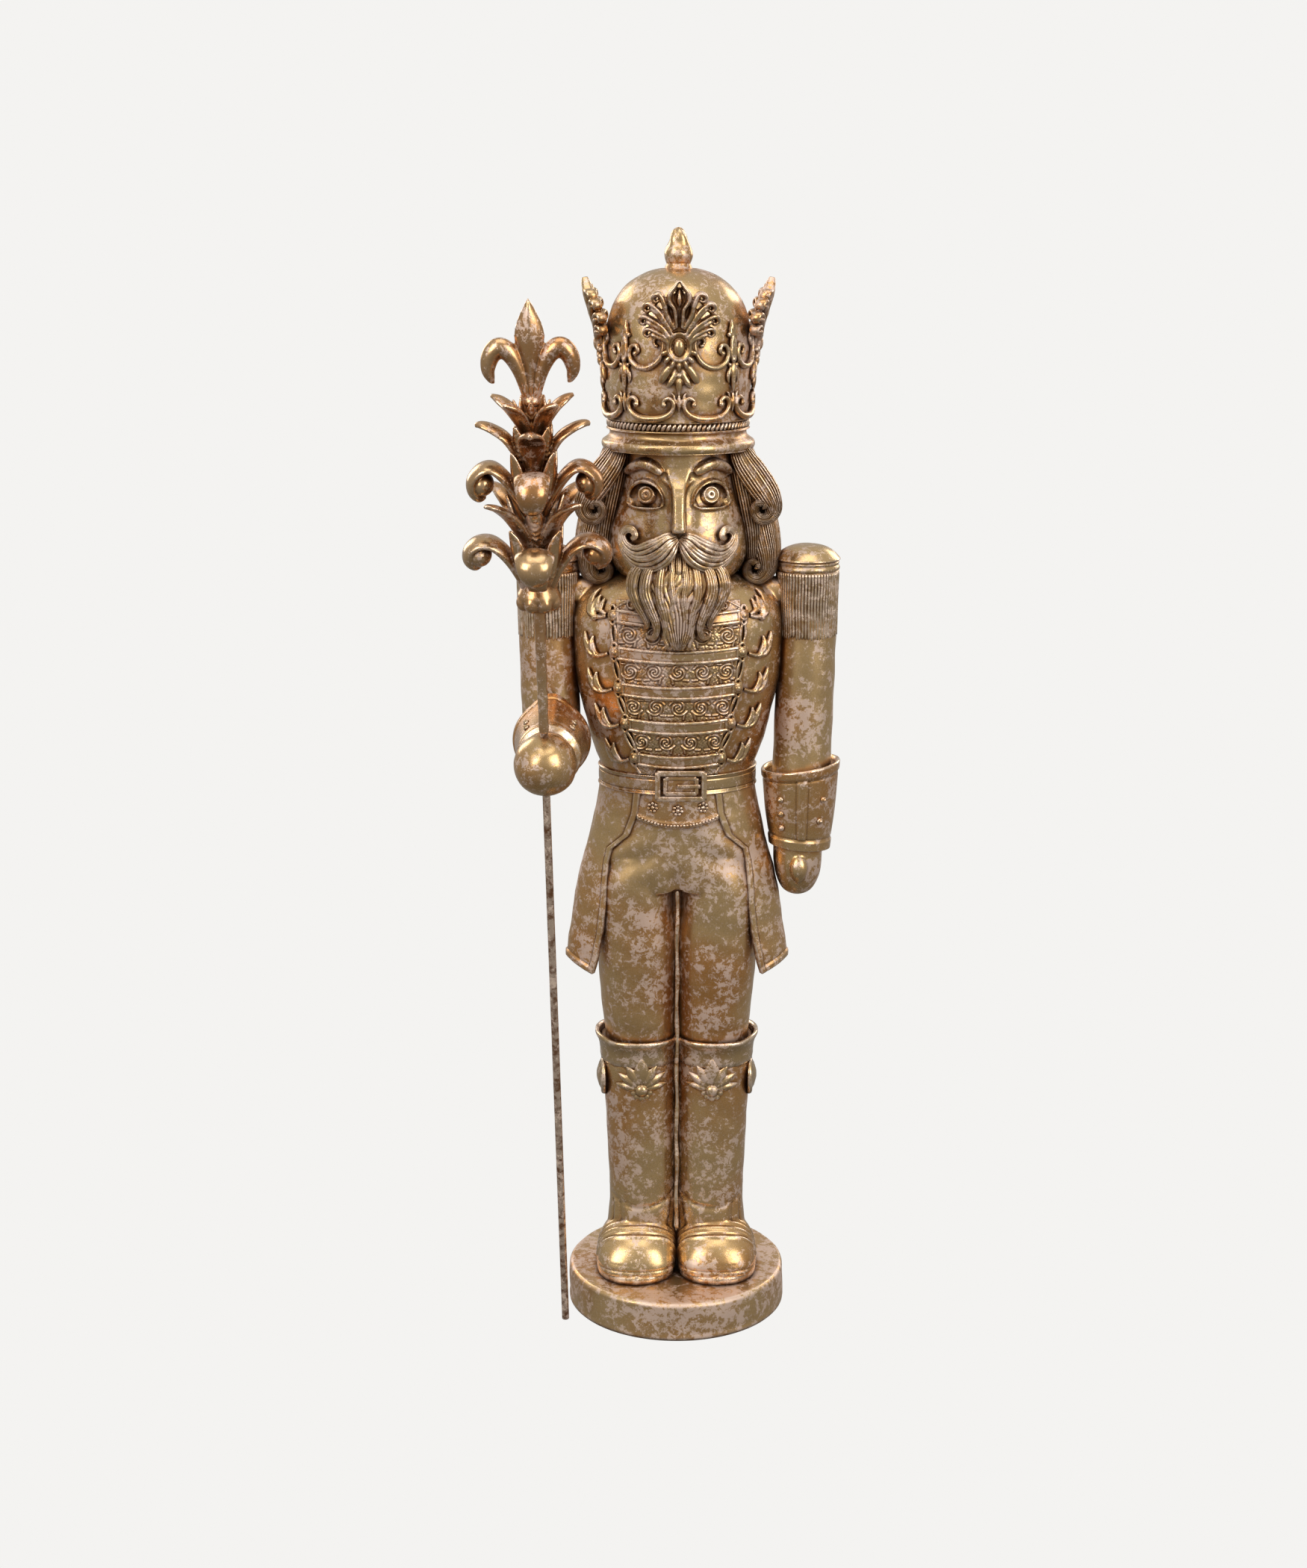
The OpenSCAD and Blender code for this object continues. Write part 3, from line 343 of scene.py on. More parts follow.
def leafedMetal(name, look=None, seed=0.0, crinkle=1.0):
    look = {**gold, **(look or {})}
    b = Bench(bpy.data.materials.new(name))
    spot = b.node("TexCoord", out=3)
    where = b.node("Mapping", None, {"Vector": spot, "Location": (seed * 0.31, seed * 0.17, seed * 0.05)})
    broad = b.noise(where, 17, 2, 0.5)
    patch = b.noise(where, 215, 8, 0.76, 0.35)
    cluster = b.noise(where, 34, 3, 0.55)
    ragged = patch * 1.45 + cluster * 0.62 - 0.555 + look["coverage"]
    speck = b.noise(where, 760, 4, 0.7)
    leaf = b.step(ragged + (speck - 0.5) * 0.42, 0.545, 0.585)
    thin = b.step(ragged, 0.40, 0.60)
    fleck = b.step(speck, 0.58, 0.66)
    grain = b.noise(where, 1400, 3, 0.6)
    crease = b.node("AmbientOcclusion", {"samples": 6}, {"Distance": 3.8 * mm}, out=1)
    curved = b.node("NewGeometry", out=7)
    # painted shade: where ambient occlusion finds hollows, creases and gaps between parts, the colour goes
    # towards near-black
    occlusionShade = b.step(crease, 0.92, 0.42)
    # painted shade: concave spots found by pointiness are darkened
    groove = b.step(curved, 0.496, 0.460)
    # tone between olive and amber: the broad noise is the gilding's own random tone, the occlusion term adds
    # painted shade that turns hollows amber
    tone = b.step(broad + look["warm"] + (1 - crease) * 0.52, 0.41, 0.68)
    # convex ridges found by pointiness turn pale and smoother: partly rubbed-through gilding, partly a painted
    # highlight
    ridgeRubAndHighlight = b.step(curved, 0.506, 0.555)
    rubbedAndHighlit = ridgeRubAndHighlight * b.step(b.noise(where, 240, 4, 0.6), 0.36, 0.60)
    base = b.mix(tone, look["olive"], look["amber"])
    base = b.mix(b.step(grain, 0.3, 0.7) * 0.18, base, look["deep"])
    base = b.mix(fleck * 0.35, base, look["leaf"])
    base = b.mix(leaf * 0.60 + thin * 0.16, base, look["leaf"])
    base = b.mix(rubbedAndHighlit * 0.80, base, look["edge"])
    base = b.mix(groove * 0.62, base, look["deep"])
    # painted shade from ambient occlusion, mixed in last
    base = b.mix(occlusionShade * 0.80, base, look["deep"])
    foil = b.noise(where, 330, 5, 0.62, 0.4)
    crumpled = b.step(b.noise(where, 26, 2, 0.5), 0.50, 0.66)
    height = foil * (crumpled * 0.9 + 0.25) + grain * 0.10 + leaf * 0.16
    bump = b.node("Bump", None, {"Height": height, "Strength": 0.38 * crinkle, "Distance": 0.35 * mm})
    rough = leaf * 0.16 + look["rough"] + (1 - crease) * 0.25 + (grain - 0.5) * 0.12 - rubbedAndHighlit * 0.08
    return b.finish({"Base Color": base, "Metallic": 0.93 - leaf * 0.20, "Roughness": rough, "Normal": bump})


def feltCloth():
    b = Bench(bpy.data.materials.new("feltCloth"))
    spot = b.node("TexCoord", out=3)
    hair = b.noise(spot, 900, 6, 0.7)
    blotch = b.noise(spot, 60, 3, 0.5)
    base = b.mix(b.step(hair * 0.7 + blotch * 0.3, 0.35, 0.65), (0.028, 0.045, 0.026, 1),
                 (0.075, 0.105, 0.062, 1))
    bump = b.node("Bump", None, {"Height": hair, "Strength": 0.6, "Distance": 0.3 * mm})
    return b.finish({"Base Color": base, "Roughness": 0.95, "Normal": bump})


def pegTimber():
    b = Bench(bpy.data.materials.new("pegTimber"))
    spot = b.node("TexCoord", out=3)
    along = b.node("Mapping", None, {"Vector": spot, "Scale": (1, 1, 0.12)})
    ring = b.noise(along, 420, 5, 0.6, 1.2)
    base = b.mix(b.step(ring, 0.35, 0.65), (0.55, 0.36, 0.19, 1), (0.33, 0.18, 0.08, 1))
    bump = b.node("Bump", None, {"Height": ring, "Strength": 0.2, "Distance": 0.2 * mm})
    return b.finish({"Base Color": base, "Roughness": 0.6, "Normal": bump})


agedGold = leafedMetal("agedGold")
clothGold = leafedMetal("clothGold", {"coverage": 0.035, "rough": 0.33}, 1.0)
trimGold = leafedMetal("trimGold", {"coverage": 0.01, "olive": (0.53, 0.36, 0.175, 1), "rough": 0.25}, 2.0, 0.8)
hairGold = leafedMetal("hairGold", {"coverage": 0.0, "amber": (0.46, 0.24, 0.088, 1), "rough": 0.26}, 3.0, 0.7)
plinthGold = leafedMetal("plinthGold", {"coverage": 0.045, "rough": 0.36}, 4.0)
leafCopper = leafedMetal("leafCopper", {"olive": (0.57, 0.365, 0.180, 1), "amber": (0.47, 0.225, 0.080, 1),
                                        "coverage": -0.03, "warm": 0.04, "rough": 0.24}, 5.0, 0.8)
rodBrown = leafedMetal("rodBrown", {"olive": (0.26, 0.130, 0.065, 1), "amber": (0.22, 0.095, 0.040, 1),
                                    "coverage": 0.0, "warm": 0.05, "rough": 0.34}, 6.0)
feltGreen = feltCloth()
pegWood = pegTimber()
print("materials ready")


# plinth
plinth = {"radius": 61.5, "round": 3.0, "wander": 0.35}


def makePlinth():
    r, felt = plinth["radius"], top("felt_disc")
    bend = [(r - plinth["round"] + plinth["round"] * math.sin(a), plinthTop - plinth["round"]
             + plinth["round"] * math.cos(a)) for a in np.linspace(math.pi / 2, 0, 9)]
    profile = [(0.02, felt), (59.6, felt), (59.9, 0.4), (60.6, 0.0), (r - 0.2, 0.7), (r, 2.0)]
    profile += [(r, z) for z in np.linspace(3, plinthTop - plinth["round"] - 0.4, 22)] + bend
    profile += [(x, plinthTop) for x in np.linspace(r - plinth["round"] - 1.2, 0.02, 30)]
    made = Clay().lathe(profile, sides=220).object("plinth")

    def uneven(co, nor):
        onTop = (nor[:, 2] > 0.9) & (co[:, 2] > 10)
        free = ease(1, 4, co[:, 2])
        return ripple(co, 9, 1.0) * np.where(onTop, 0.12, plinth["wander"]) * free - 0.3 * free
    settle(carve(made, uneven), plinthGold, stands=["base"])
    settle(frame["nodes"]["felt_disc"], feltGreen)


# boots
boot = {"seam": 0.75, "stitch": 0.5, "welt": 0.55, "scallop": 0.45, "crease": 0.5}  # depths of the worked lines
bootSkin = Skin([(26, 21.4, 1.0, 19.5, 19.8), (40, 20.6, 1.0, 19.3, 19.5), (52, 19.6, 1.0, 18.9, 19.2),
                 (66, 19.3, 1.0, 18.7, 19.0), (90, 19.7, 1.0, 19.2, 19.3),
                 (123, 20.4, 1.2, 20.0, 19.9), (140, 20.9, 1.4, 20.6, 20.6), (150, 21.3, 1.5, 21.0, 21.0),
                 (164, 21.6, 1.5, 21.4, 21.4)], 2.15)


def makeBoot():  # the left one, the right one is its mirror
    c = Clay()
    bootSkin.solid(c, plinthTop + 2, bootTop - 4, 90, 110)
    # shoe: a row of ovals from heel to toe, seen from above
    shoe = curve([(17.5, 19.6, 6, 8, 27), (10, 21.2, 20, 17, 31), (0, 21.6, 22, 20, 33),
                  (-8, 22.0, 22.6, 20.5, 33.5), (-16, 22.4, 22.6, 20.0, 32.5), (-24, 22.6, 21.8, 18.2, 30.5),
                  (-31, 22.6, 18.8, 14.4, 28.6), (-35.4, 22.6, 13.0, 9.0, 27.2), (-37.4, 22.6, 4.5, 3.2, 26.8)],
                 60)
    a = np.arange(72) / 72 * tau
    rows = []
    for y, x, w, h, mid in shoe:
        z = mid + h * np.sign(np.sin(a)) * np.abs(np.sin(a)) ** 0.95
        rows.append(np.stack([x + w * np.cos(a), np.full(72, y), np.maximum(z, soleTop - 1.0)], -1))
    c.rings(rows)
    return c


def solePlan(grow=0.0, count=120):
    p = curve([(22.6, -38.6), (34, -35.4), (42.6, -26), (45.2, -12), (44.6, 2), (41.4, 14), (33, 21.2),
               (22, 22.6), (10, 21.2), (2.6, 14), (0.9, 2), (0.7, -12), (3.0, -26), (11.4, -35.4),
               (22.6, -38.6)], count + 1)[:-1]
    mid = np.array([22.7, -8.0])
    away = unit(p - mid)
    return p + away * grow


def makeSole():
    c = Clay()
    rows = []
    for z, grow in ((plinthTop - 0.4, -0.9), (plinthTop + 0.5, 0.0), (soleTop - 1.6, 0.1),
                    (soleTop - 0.7, -0.5), (soleTop + 0.1, -0.9), (soleTop + 0.7, -2.0), (soleTop + 0.7, -6.0)):
        p = solePlan(grow)
        rows.append(np.column_stack([p, np.full(len(p), z)]))
    return c.rings(rows)


def bootRelief(co, nor):
    x, y, z = co.T
    d = np.zeros(len(co))
    front = ease(6, -4, y) * (z < 62)
    # arcs stitched over the vamp and the seam of the toe cap
    for k, reach in enumerate((-26.5, -21.5, -17.6, -14.0)):
        line = y - (reach + 0.016 * (x - 22.5) ** 2 + 0.10 * (z - 40))
        ridge = boot["seam"] if k == 0 else boot["stitch"]
        d += front * (ridge * np.exp(-((line + 0.9) / 0.7) ** 2)
                      - ridge * np.exp(-((line - 0.5) / 0.6) ** 2)) * ease(30, 34, z)
    welt = np.exp(-((z - soleTop - 2.6) / 0.6) ** 2) * (z < 36) * ease(12, 4, y)
    d -= boot["welt"] * welt
    d += 0.16 * ripple(co, 6, 2.0) * (z > 34)
    # engraved scallops under the cuff
    angle = np.arctan2(x - 21, -(y - 1.5))
    scallop = 143.5 + 1.6 * np.abs(np.sin(angle * 9))
    d -= boot["scallop"] * np.exp(-((z - scallop) / 0.35) ** 2) * (np.abs(angle) < 2.4)
    # soft creases at the ankle
    d -= boot["crease"] * np.exp(-((z - 60 - 0.02 * (x - 20) ** 2) / 1.6) ** 2) * ease(6, -14, y)
    return d


def makeCuff():
    # upstanding rim of the boot top, higher on the outside and at the middle seam
    a = np.arange(140) / 140 * tau
    rows = []
    for z, lift in ((144.6, 0.0), (145.2, 0.7), (147.5, 0.9), (150, 0.8), (153, 1.0), (155.5, 1.6),
                    (157.2, 2.5), (158.4, 3.0), (159.6, 2.9), (160.2, 2.1), (159.8, 1.2), (158.0, 0.6),
                    (152.0, 0.2), (148.0, -1.5)):
        rise = (z - 145) / 15 * (1.6 * ease(0.5, 1, np.sin(a))
                                 + 1.9 * ease(0.82, 1, -np.sin(a)) * (np.cos(a) > 0)) + 0 * a
        p = bootSkin.around(a, np.full(140, z), lift)
        p[:, 0] = np.maximum(p[:, 0], 0.15)
        p[:, 2] += rise
        rows.append(p)
    return Clay().rings(rows)


def makeBoss():
    turn = np.array([[0, 0, -1], [0, 1, 0], [1, 0, 0]], float)
    c = Clay()
    low, high = box("boot_boss_left")
    mid, r = (low + high) / 2, (high[2] - low[2]) / 2 + 1.4
    profile = [(0.02, 0), (r, 0), (r + 0.1, 1.2), (r - 0.3, 2.2), (r - 1.2, 2.7), (r - 1.9, 2.3),
               (r - 2.6, 2.5), (r - 5, 3.9), (r - 8, 4.8), (2, 5.2), (0.02, 5.3)]
    c.lathe(profile, (high[0] - 5.6, mid[1], mid[2]), 72, turn)
    return c


def petal(c, skin, x, z, angle, length, wide, thick=1.5, lift=0.0, sides=12):
    # pointed drop lying on a skin, it grows from (x, z) at an angle from upright
    t = np.linspace(0, 1, 16)
    px, pz = x + np.sin(angle) * length * t, z + np.cos(angle) * length * t
    path = skin.front(px, pz, lift)
    shape = np.sin(np.clip(t, 0, 1) ** 0.75 * math.pi) ** 0.8 + 0.03
    c.sweep(path, skin.normal(px, pz), wide * shape, thick * shape ** 0.7, sides, power=1.6)
    return c


def makePalmette():
    low, high = box("boot_palmette_left")
    x, z = (low[0] + high[0]) / 2 + 1.2, low[2] + 8.2
    c = Clay()
    for angle, length, wide in ((0, 19.5, 4.4), (0.55, 16.5, 3.2), (-0.55, 16.5, 3.2), (0.98, 16.0, 2.9),
                                (-0.98, 16.0, 2.9), (1.42, 15.0, 2.5), (-1.42, 15.0, 2.5)):
        petal(c, bootSkin, x + 2.2 * math.sin(angle), z + 2.2 * math.cos(angle), angle, length - 2.2, wide, 1.7,
              0.2)
    gem = bootSkin.front(x, z - 0.8, 0.4)
    c.ball(gem, (3.6, 2.6, 3.6), 24)
    for k in range(-2, 3):
        a = k * 0.62
        c.ball(bootSkin.front(x + 4.6 * math.sin(a), z - 0.8 - 4.6 * math.cos(a), 0.2), (1.9, 1.2, 1.9), 14)
    return c


def makeBoots():
    shaft, cuff, ornament, sole = makeBoot(), makeCuff(), makePalmette(), makeSole()
    boss = makeBoss()
    for side in ("left", "right"):
        pick = (lambda c: c) if side == "left" else (lambda c: Clay().mirror(c))

        def relief(co, nor):
            flat = co * ([1, 1, 1] if side == "left" else [-1, 1, 1])
            return bootRelief(flat, nor)
        settle(carve(cast(pick(shaft), "boot_" + side, 0.7, 3), relief), agedGold, stands=["boot_" + side])
        settle(pick(cuff).object("bootCuff_" + side), trimGold, stands=["boot_cuff_" + side])
        settle(cast(pick(ornament), "bootPalmette_" + side, 0.32, 1), trimGold,
               stands=["boot_palmette_" + side])
        settle(pick(boss).object("bootBoss_" + side), trimGold, stands=["boot_boss_" + side])
        settle(pick(sole).object("bootSole_" + side), agedGold, stands=["sole_" + side])


# trousers
legs = {"crotch": 250.5, "web": 1.15}
legSkin = Skin([(150, 20.4, 1.5, 19.8, 20.5), (162, 20.4, 1.5, 19.9, 21), (172, 21.0, 1.0, 20.3, 22),
                (186, 21.4, 0.5, 21.1, 23), (200, 21.8, 0, 22.0, 24), (216, 22.0, 0, 22.6, 25),
                (230, 22.6, 0, 22.6, 25.6), (244, 22.9, 0, 22.7, 26), (252, 22.0, 0, 23.0, 26),
                (258, 20, 0, 24.0, 26), (268, 18, 0, 22, 25)], 2.2)
hipSkin = Skin([(238, 0, 0, 38, 20), (246, 0, 0, 44.5, 24.6), (255, 0, 0, 46.0, 26.6), (268, 0, 0, 45.5, 27.2),
                (284, 0, 0, 43.8, 27.4), (304, 0, 0, 41.5, 27.6), (312, 0, 0, 41, 27.6)], 2.3)


def makeTrousers():
    c = Clay()
    legSkin.solid(c, bootTop - 11, 266, 60, 96)
    c.mirror(legSkin.solid(Clay(), bootTop - 11, 266, 60, 96))
    hipSkin.solid(c, 247, waist + 4, 40, 120)
    made = cast(c, "trousers", 0.85, 7)

    def relief(co, nor):
        x, y, z = co.T
        d = 0.28 * ripple(co, 14, 3.0) + 0.12 * ripple(co, 5, 5.0)
        hollow = np.exp(-((x / 5.0) ** 2)) * ease(210, 244, z) * ease(266, 252, z) * (y < 5)
        d -= 2.6 * hollow
        # soft pull folds over the hips and the lap
        d += 0.5 * np.sin((z - 262 + 0.55 * np.abs(x)) / 3.2) * np.exp(-((z - 268) / 13) ** 2) * ease(6, 16,
                np.abs(x)) * (y < 0)
        return d
    settle(carve(made, relief), clothGold, stands=["trousers"])
    # thin web that the mould leaves between the legs
    web = Clay()
    z = np.concatenate([np.linspace(46, bootTop - 16, 60), np.linspace(bootTop - 14, legs["crotch"] - 2, 50)])
    y = np.where(z < bootTop - 15, -13.5 + 0 * z, -16.5 - 3 * ease(160, 235, z)) + 0.5 * np.sin(z / 3.7)
    path = np.column_stack([0.25 * np.sin(z / 6), y, z])
    web.sweep(path, (0, -1, 0), legs["web"] + 0.15 * np.sin(z / 4.3), 1.2, 10)
    settle(web.object("legWeb"), trimGold)


# coat tails, belt and flap
tail = {"wall": 3.6, "edge": 3.2, "edgeRise": 0.9}
tailOut = np.array([(190, 60.3), (203, 60.2), (211, 59.7), (220, 58.3), (238, 56), (255, 53), (272, 48.2),
                    (289, 45.0), (297, 43.4), (306, 42.2)])
tailFront = np.array([(192, 47.5), (198, 46.5), (207, 44), (225, 40.2), (240, 38.2), (256, 37.4), (264, 36.8),
                      (272, 34.8), (277, 29.5), (281, 25.0), (293, 20.2), (308, 18.4)])


def makeTail():
    c = Clay()
    rows, wide = 150, 170
    s = np.linspace(0, 1, wide)          # 0 at the front edge, 1 at the back middle
    grid = np.zeros((rows, wide, 3))
    inner = np.zeros((rows, wide, 3))
    for r, t in enumerate(np.linspace(0, 1, rows)):
        z = waist + 1.0 + (200.0 - waist - 1.0) * t
        rx = np.interp(z, tailOut[:, 0], tailOut[:, 1])
        fx = np.interp(z, tailFront[:, 0], tailFront[:, 1])
        ryF = 29.2 - 2.5 * t
        ryB = 29.5 + 11.0 * t**1.1
        start = math.asin(min(0.985, fx / rx))
        a = start + (math.pi - 0.004 - start) * s
        sn, cs = np.sin(a), np.cos(a)
        flare = np.where(cs > 0, ryF, ryB)
        x = rx * np.abs(sn) ** 0.92 * np.sign(sn)
        y = -flare * np.sign(cs) * np.abs(cs) ** 0.92
        wave = 1.1 * t**1.6 * np.sin(a * 4.2 + 0.5)
        zz = z - t * (3.2 * ease(1.15, 0.5, a)) + t * 5.5 * np.exp(-((a - 1.5) / 0.42) ** 2)
        nx, ny = sn, -cs
        edge = ease(tail["edge"] + 0.5, tail["edge"] - 0.3, (a - start) * (rx + 30) / 2)
        hemBand = ease(tail["edge"] + 0.6, tail["edge"] - 0.2, (1 - t) * (waist - 200))
        groove = np.exp(-(((a - start) * (rx + 30) / 2 - tail["edge"] - 0.6)
                          / 0.45) ** 2) + np.exp(-(((1 - t) * (waist - 200) - tail["edge"] - 0.6) / 0.45) ** 2)
        lift = tail["edgeRise"] * np.maximum(edge, hemBand) - 0.35 * groove + wave
        grid[r] = np.stack([x + nx * lift, y + ny * lift, zz], -1)
        wall = tail["wall"] * (0.45 + 0.55 * ease(0.0, 0.12, s)) * (1 - 0.35 * ease(0.9, 1, t))
        inner[r] = np.stack([x + nx * (wave - wall), y + ny * (wave - wall), zz + 0.4 * t], -1)
    loops = np.concatenate([grid, inner[:, ::-1]], 1)
    loops[..., 0] = np.maximum(loops[..., 0], 0.12)
    c.rings(loops)
    return c


def tailRelief(co, nor):
    return 0.22 * ripple(co, 12, 7.0) + 0.10 * ripple(co, 4, 8.0)


def makeTails():
    c = makeTail()
    for side in ("left", "right"):
        shape = c if side == "left" else Clay().mirror(c)
        settle(carve(shape.object("coatTail_" + side), tailRelief), clothGold, stands=["coat_tail_" + side])


flap = {"low": 285.6, "half": 22.0, "bead": 0.85}


def makeFlap():
    # waistcoat front under the belt with a beaded hem and three rosettes
    xs = np.linspace(-flap["half"], flap["half"], 90)
    rows = []
    for t in np.linspace(0, 1, 30):
        z = waist + 1 + (flap["low"] + 4.6 * (np.abs(xs) / flap["half"]) ** 2.2 - waist - 1) * t
        y = -hipSkin.row(z)[3] * np.sqrt(1 - (xs / hipSkin.row(z)[2]) ** 2) - 1.7 - 1.0 * t
        rim = ease(0.80, 0.84, t) * 0.8
        rows.append(np.stack([xs, y - rim, z], -1))
    rows = np.array(rows)
    back = rows[:, ::-1].copy()
    back[..., 1] += 2.6
    c = Clay().rings(np.concatenate([rows, back], 1))
    for x in np.linspace(-flap["half"] + 1.2, flap["half"] - 1.2, 25):
        z = flap["low"] + 4.6 * (abs(x) / flap["half"]) ** 2.2 + 1.6
        y = -hipSkin.row(z)[3] * math.sqrt(1 - (x / hipSkin.row(z)[2]) ** 2) - 3.6
        c.ball((x, y, z), (flap["bead"], 0.6, 0.9), 10)
    for x in (-13.5, 0, 13.5):
        z = 295.6 + 0.008 * x * x
        y = -hipSkin.row(z)[3] * math.sqrt(1 - (x / hipSkin.row(z)[2]) ** 2) - 2.6
        c.ball((x, y - 0.2, z), (1.4, 1.5, 1.4), 16)
        for k in range(7):
            a = k / 7 * tau
            c.ball((x + 2.2 * math.sin(a), y, z + 2.2 * math.cos(a)), (1.05, 0.9, 1.05), 12)
    settle(c.object("waistcoatFlap"), trimGold, stands=["waistcoat_hem"])


beltLook = {"rim": 0.55, "stitch": 0.35}


def makeBelt():
    low, high = box("belt")
    zs = np.linspace(low[2] + 0.1, high[2] + 0.9, 46)
    t = (zs - zs[0]) / (zs[-1] - zs[0])
    a = np.arange(240) / 240 * tau
    rows = []
    half = (high[0] - low[0]) / 2
    deep = (high[1] - low[1]) / 2
    lift = beltLook["rim"] * (np.exp(-((t - 0.07) / 0.06) ** 2)
                              + np.exp(-((t - 0.93) / 0.06) ** 2)) - beltLook["stitch"] * (np.exp(-((t - 0.24)
            / 0.025) ** 2) + np.exp(-((t - 0.76) / 0.025) ** 2)) + 0.25 * np.sin(t * math.pi)
    lift = lift - 0.8 * (np.exp(-(t / 0.03) ** 2) + np.exp(-((t - 1) / 0.03) ** 2))
    for z, l in zip(zs, lift):
        rows.append(np.stack([(half + l) * np.sin(a), -(deep + l) * np.cos(a), np.full(240, z)
                              - 0.5 * np.cos(a)], -1))
    inside = [np.stack([(half - 2.4) * np.sin(a), -(deep - 2.4) * np.cos(a), np.full(240, z)], -1)
              for z in (zs[-1] - 0.3, zs[0] + 0.3)]
    c = Clay().rings(np.array(rows + inside[:1] + inside[1:]))
    settle(c.object("belt"), trimGold, stands=["belt"])


buckle = {"shift": 1.6, "wide": 27.8, "high": 17.0, "bar": 1.5}


def frameBar(c, x0, z0, x1, z1, y, w, t):
    path = np.linspace((x0, y, z0), (x1, y, z1), 12)
    c.sweep(path, (0, -1, 0), w, t, 20, power=5)


def makeBuckle():
    low, high = box("buckle")
    y = low[1] + 0.4
    mid = (low[2] + high[2]) / 2 + 0.6
    c = Clay()
    x0, x1 = buckle["shift"] - buckle["wide"] / 2, buckle["shift"] + buckle["wide"] / 2
    z0, z1 = mid - buckle["high"] / 2, mid + buckle["high"] / 2
    for k, (grow, t) in enumerate(((0, 1.5), (-4.4, 1.25))):
        w = buckle["bar"] - 0.35 * k
        a, b, d, e = x0 - grow, x1 + grow, z0 - grow * 0.72, z1 + grow * 0.72
        frameBar(c, a + 1, d + w, b - 1, d + w, y + 0.4 * k, w, t)
        frameBar(c, a + 1, e - w, b - 1, e - w, y + 0.4 * k, w, t)
        frameBar(c, a + w, d + 1, a + w, e - 1, y + 0.4 * k, w, t)
        frameBar(c, b - w, d + 1, b - w, e - 1, y + 0.4 * k, w, t)
    c.sweep(np.linspace((x0 + 6, y + 1.2, mid), (x1 - 6, y + 1.2, mid), 14), (0, -1, 0), 4.2, 1.3, 24, power=5)
    frameBar(c, buckle["shift"] - 2, mid, x1 - 3.5, mid, y - 0.2, 1.1, 1.2)
    settle(c.object("buckle"), trimGold, stands=["buckle"])


makePlinth()
makeBoots()
print("plinth and boots ready")
makeTrousers()
makeTails()
makeFlap()
makeBelt()
makeBuckle()
print("lower body ready")


# Geometry Nodes that set copies round an oval, each turned to face out
def ringTree():
    tree = bpy.data.node_groups.new("ringOfCopies", "GeometryNodeTree")
    face = tree.interface
    face.new_socket("Geometry", in_out="INPUT", socket_type="NodeSocketGeometry")
    for label, kind, value in (("Piece", "NodeSocketObject", None), ("Count", "NodeSocketInt", 12),
                               ("Half width", "NodeSocketFloat", 0.02), ("Half depth", "NodeSocketFloat", 0.02),
                               ("Height", "NodeSocketFloat", 0.0), ("Start", "NodeSocketFloat", 0.0),
                               ("Size jitter", "NodeSocketFloat", 0.0), ("Turn jitter", "NodeSocketFloat", 0.0),
                               ("Seed", "NodeSocketInt", 3), ("Finish", "NodeSocketMaterial", None)):
        s = face.new_socket(label, in_out="INPUT", socket_type=kind)
        if value is not None:
            s.default_value = value
    face.new_socket("Geometry", in_out="OUTPUT", socket_type="NodeSocketGeometry")
    n, link = tree.nodes.new, tree.links.new
    give, take = n("NodeGroupInput"), n("NodeGroupOutput")

    def sums(what, a, b=None):
        m = n("ShaderNodeMath")
        m.operation = what
        for k, v in enumerate((a, b)):
            if v is None:
                continue
            if hasattr(v, "node"):
                link(v, m.inputs[k])
            else:
                m.inputs[k].default_value = v
        return m.outputs[0]
    points = n("GeometryNodePoints")
    link(give.outputs["Count"], points.inputs["Count"])
    angle = sums("ADD", sums("MULTIPLY", sums("DIVIDE", n("GeometryNodeInputIndex").outputs[0],
            give.outputs["Count"]), tau), give.outputs["Start"])
    place = n("ShaderNodeCombineXYZ")
    link(sums("MULTIPLY", sums("SINE", angle), give.outputs["Half width"]), place.inputs[0])
    link(sums("MULTIPLY", sums("MULTIPLY", sums("COSINE", angle), give.outputs["Half depth"]), -1.0),
         place.inputs[1])
    link(give.outputs["Height"], place.inputs[2])
    link(place.outputs[0], points.inputs["Position"])
    info = n("GeometryNodeObjectInfo")
    link(give.outputs["Piece"], info.inputs["Object"])
    wobble = n("FunctionNodeRandomValue")
    wobble.data_type = "FLOAT"
    wobble.inputs[2].default_value, wobble.inputs[3].default_value = -1, 1
    link(give.outputs["Seed"], wobble.inputs["Seed"])
    turn = n("ShaderNodeCombineXYZ")
    link(sums("MULTIPLY", wobble.outputs[1], give.outputs["Turn jitter"]), turn.inputs[0])
    link(angle, turn.inputs[2])
    size = sums("ADD", sums("MULTIPLY", wobble.outputs[1], give.outputs["Size jitter"]), 1.0)
    put = n("GeometryNodeInstanceOnPoints")
    link(points.outputs[0], put.inputs["Points"])
    link(info.outputs["Geometry"], put.inputs["Instance"])
    link(turn.outputs[0], put.inputs["Rotation"])
    link(size, put.inputs["Scale"])
    real, finish = n("GeometryNodeRealizeInstances"), n("GeometryNodeSetMaterial")
    link(put.outputs[0], real.inputs[0])
    link(real.outputs[0], finish.inputs["Geometry"])
    link(give.outputs["Finish"], finish.inputs["Material"])
    link(finish.outputs[0], take.inputs[0])
    return tree


copiesTree = ringTree()


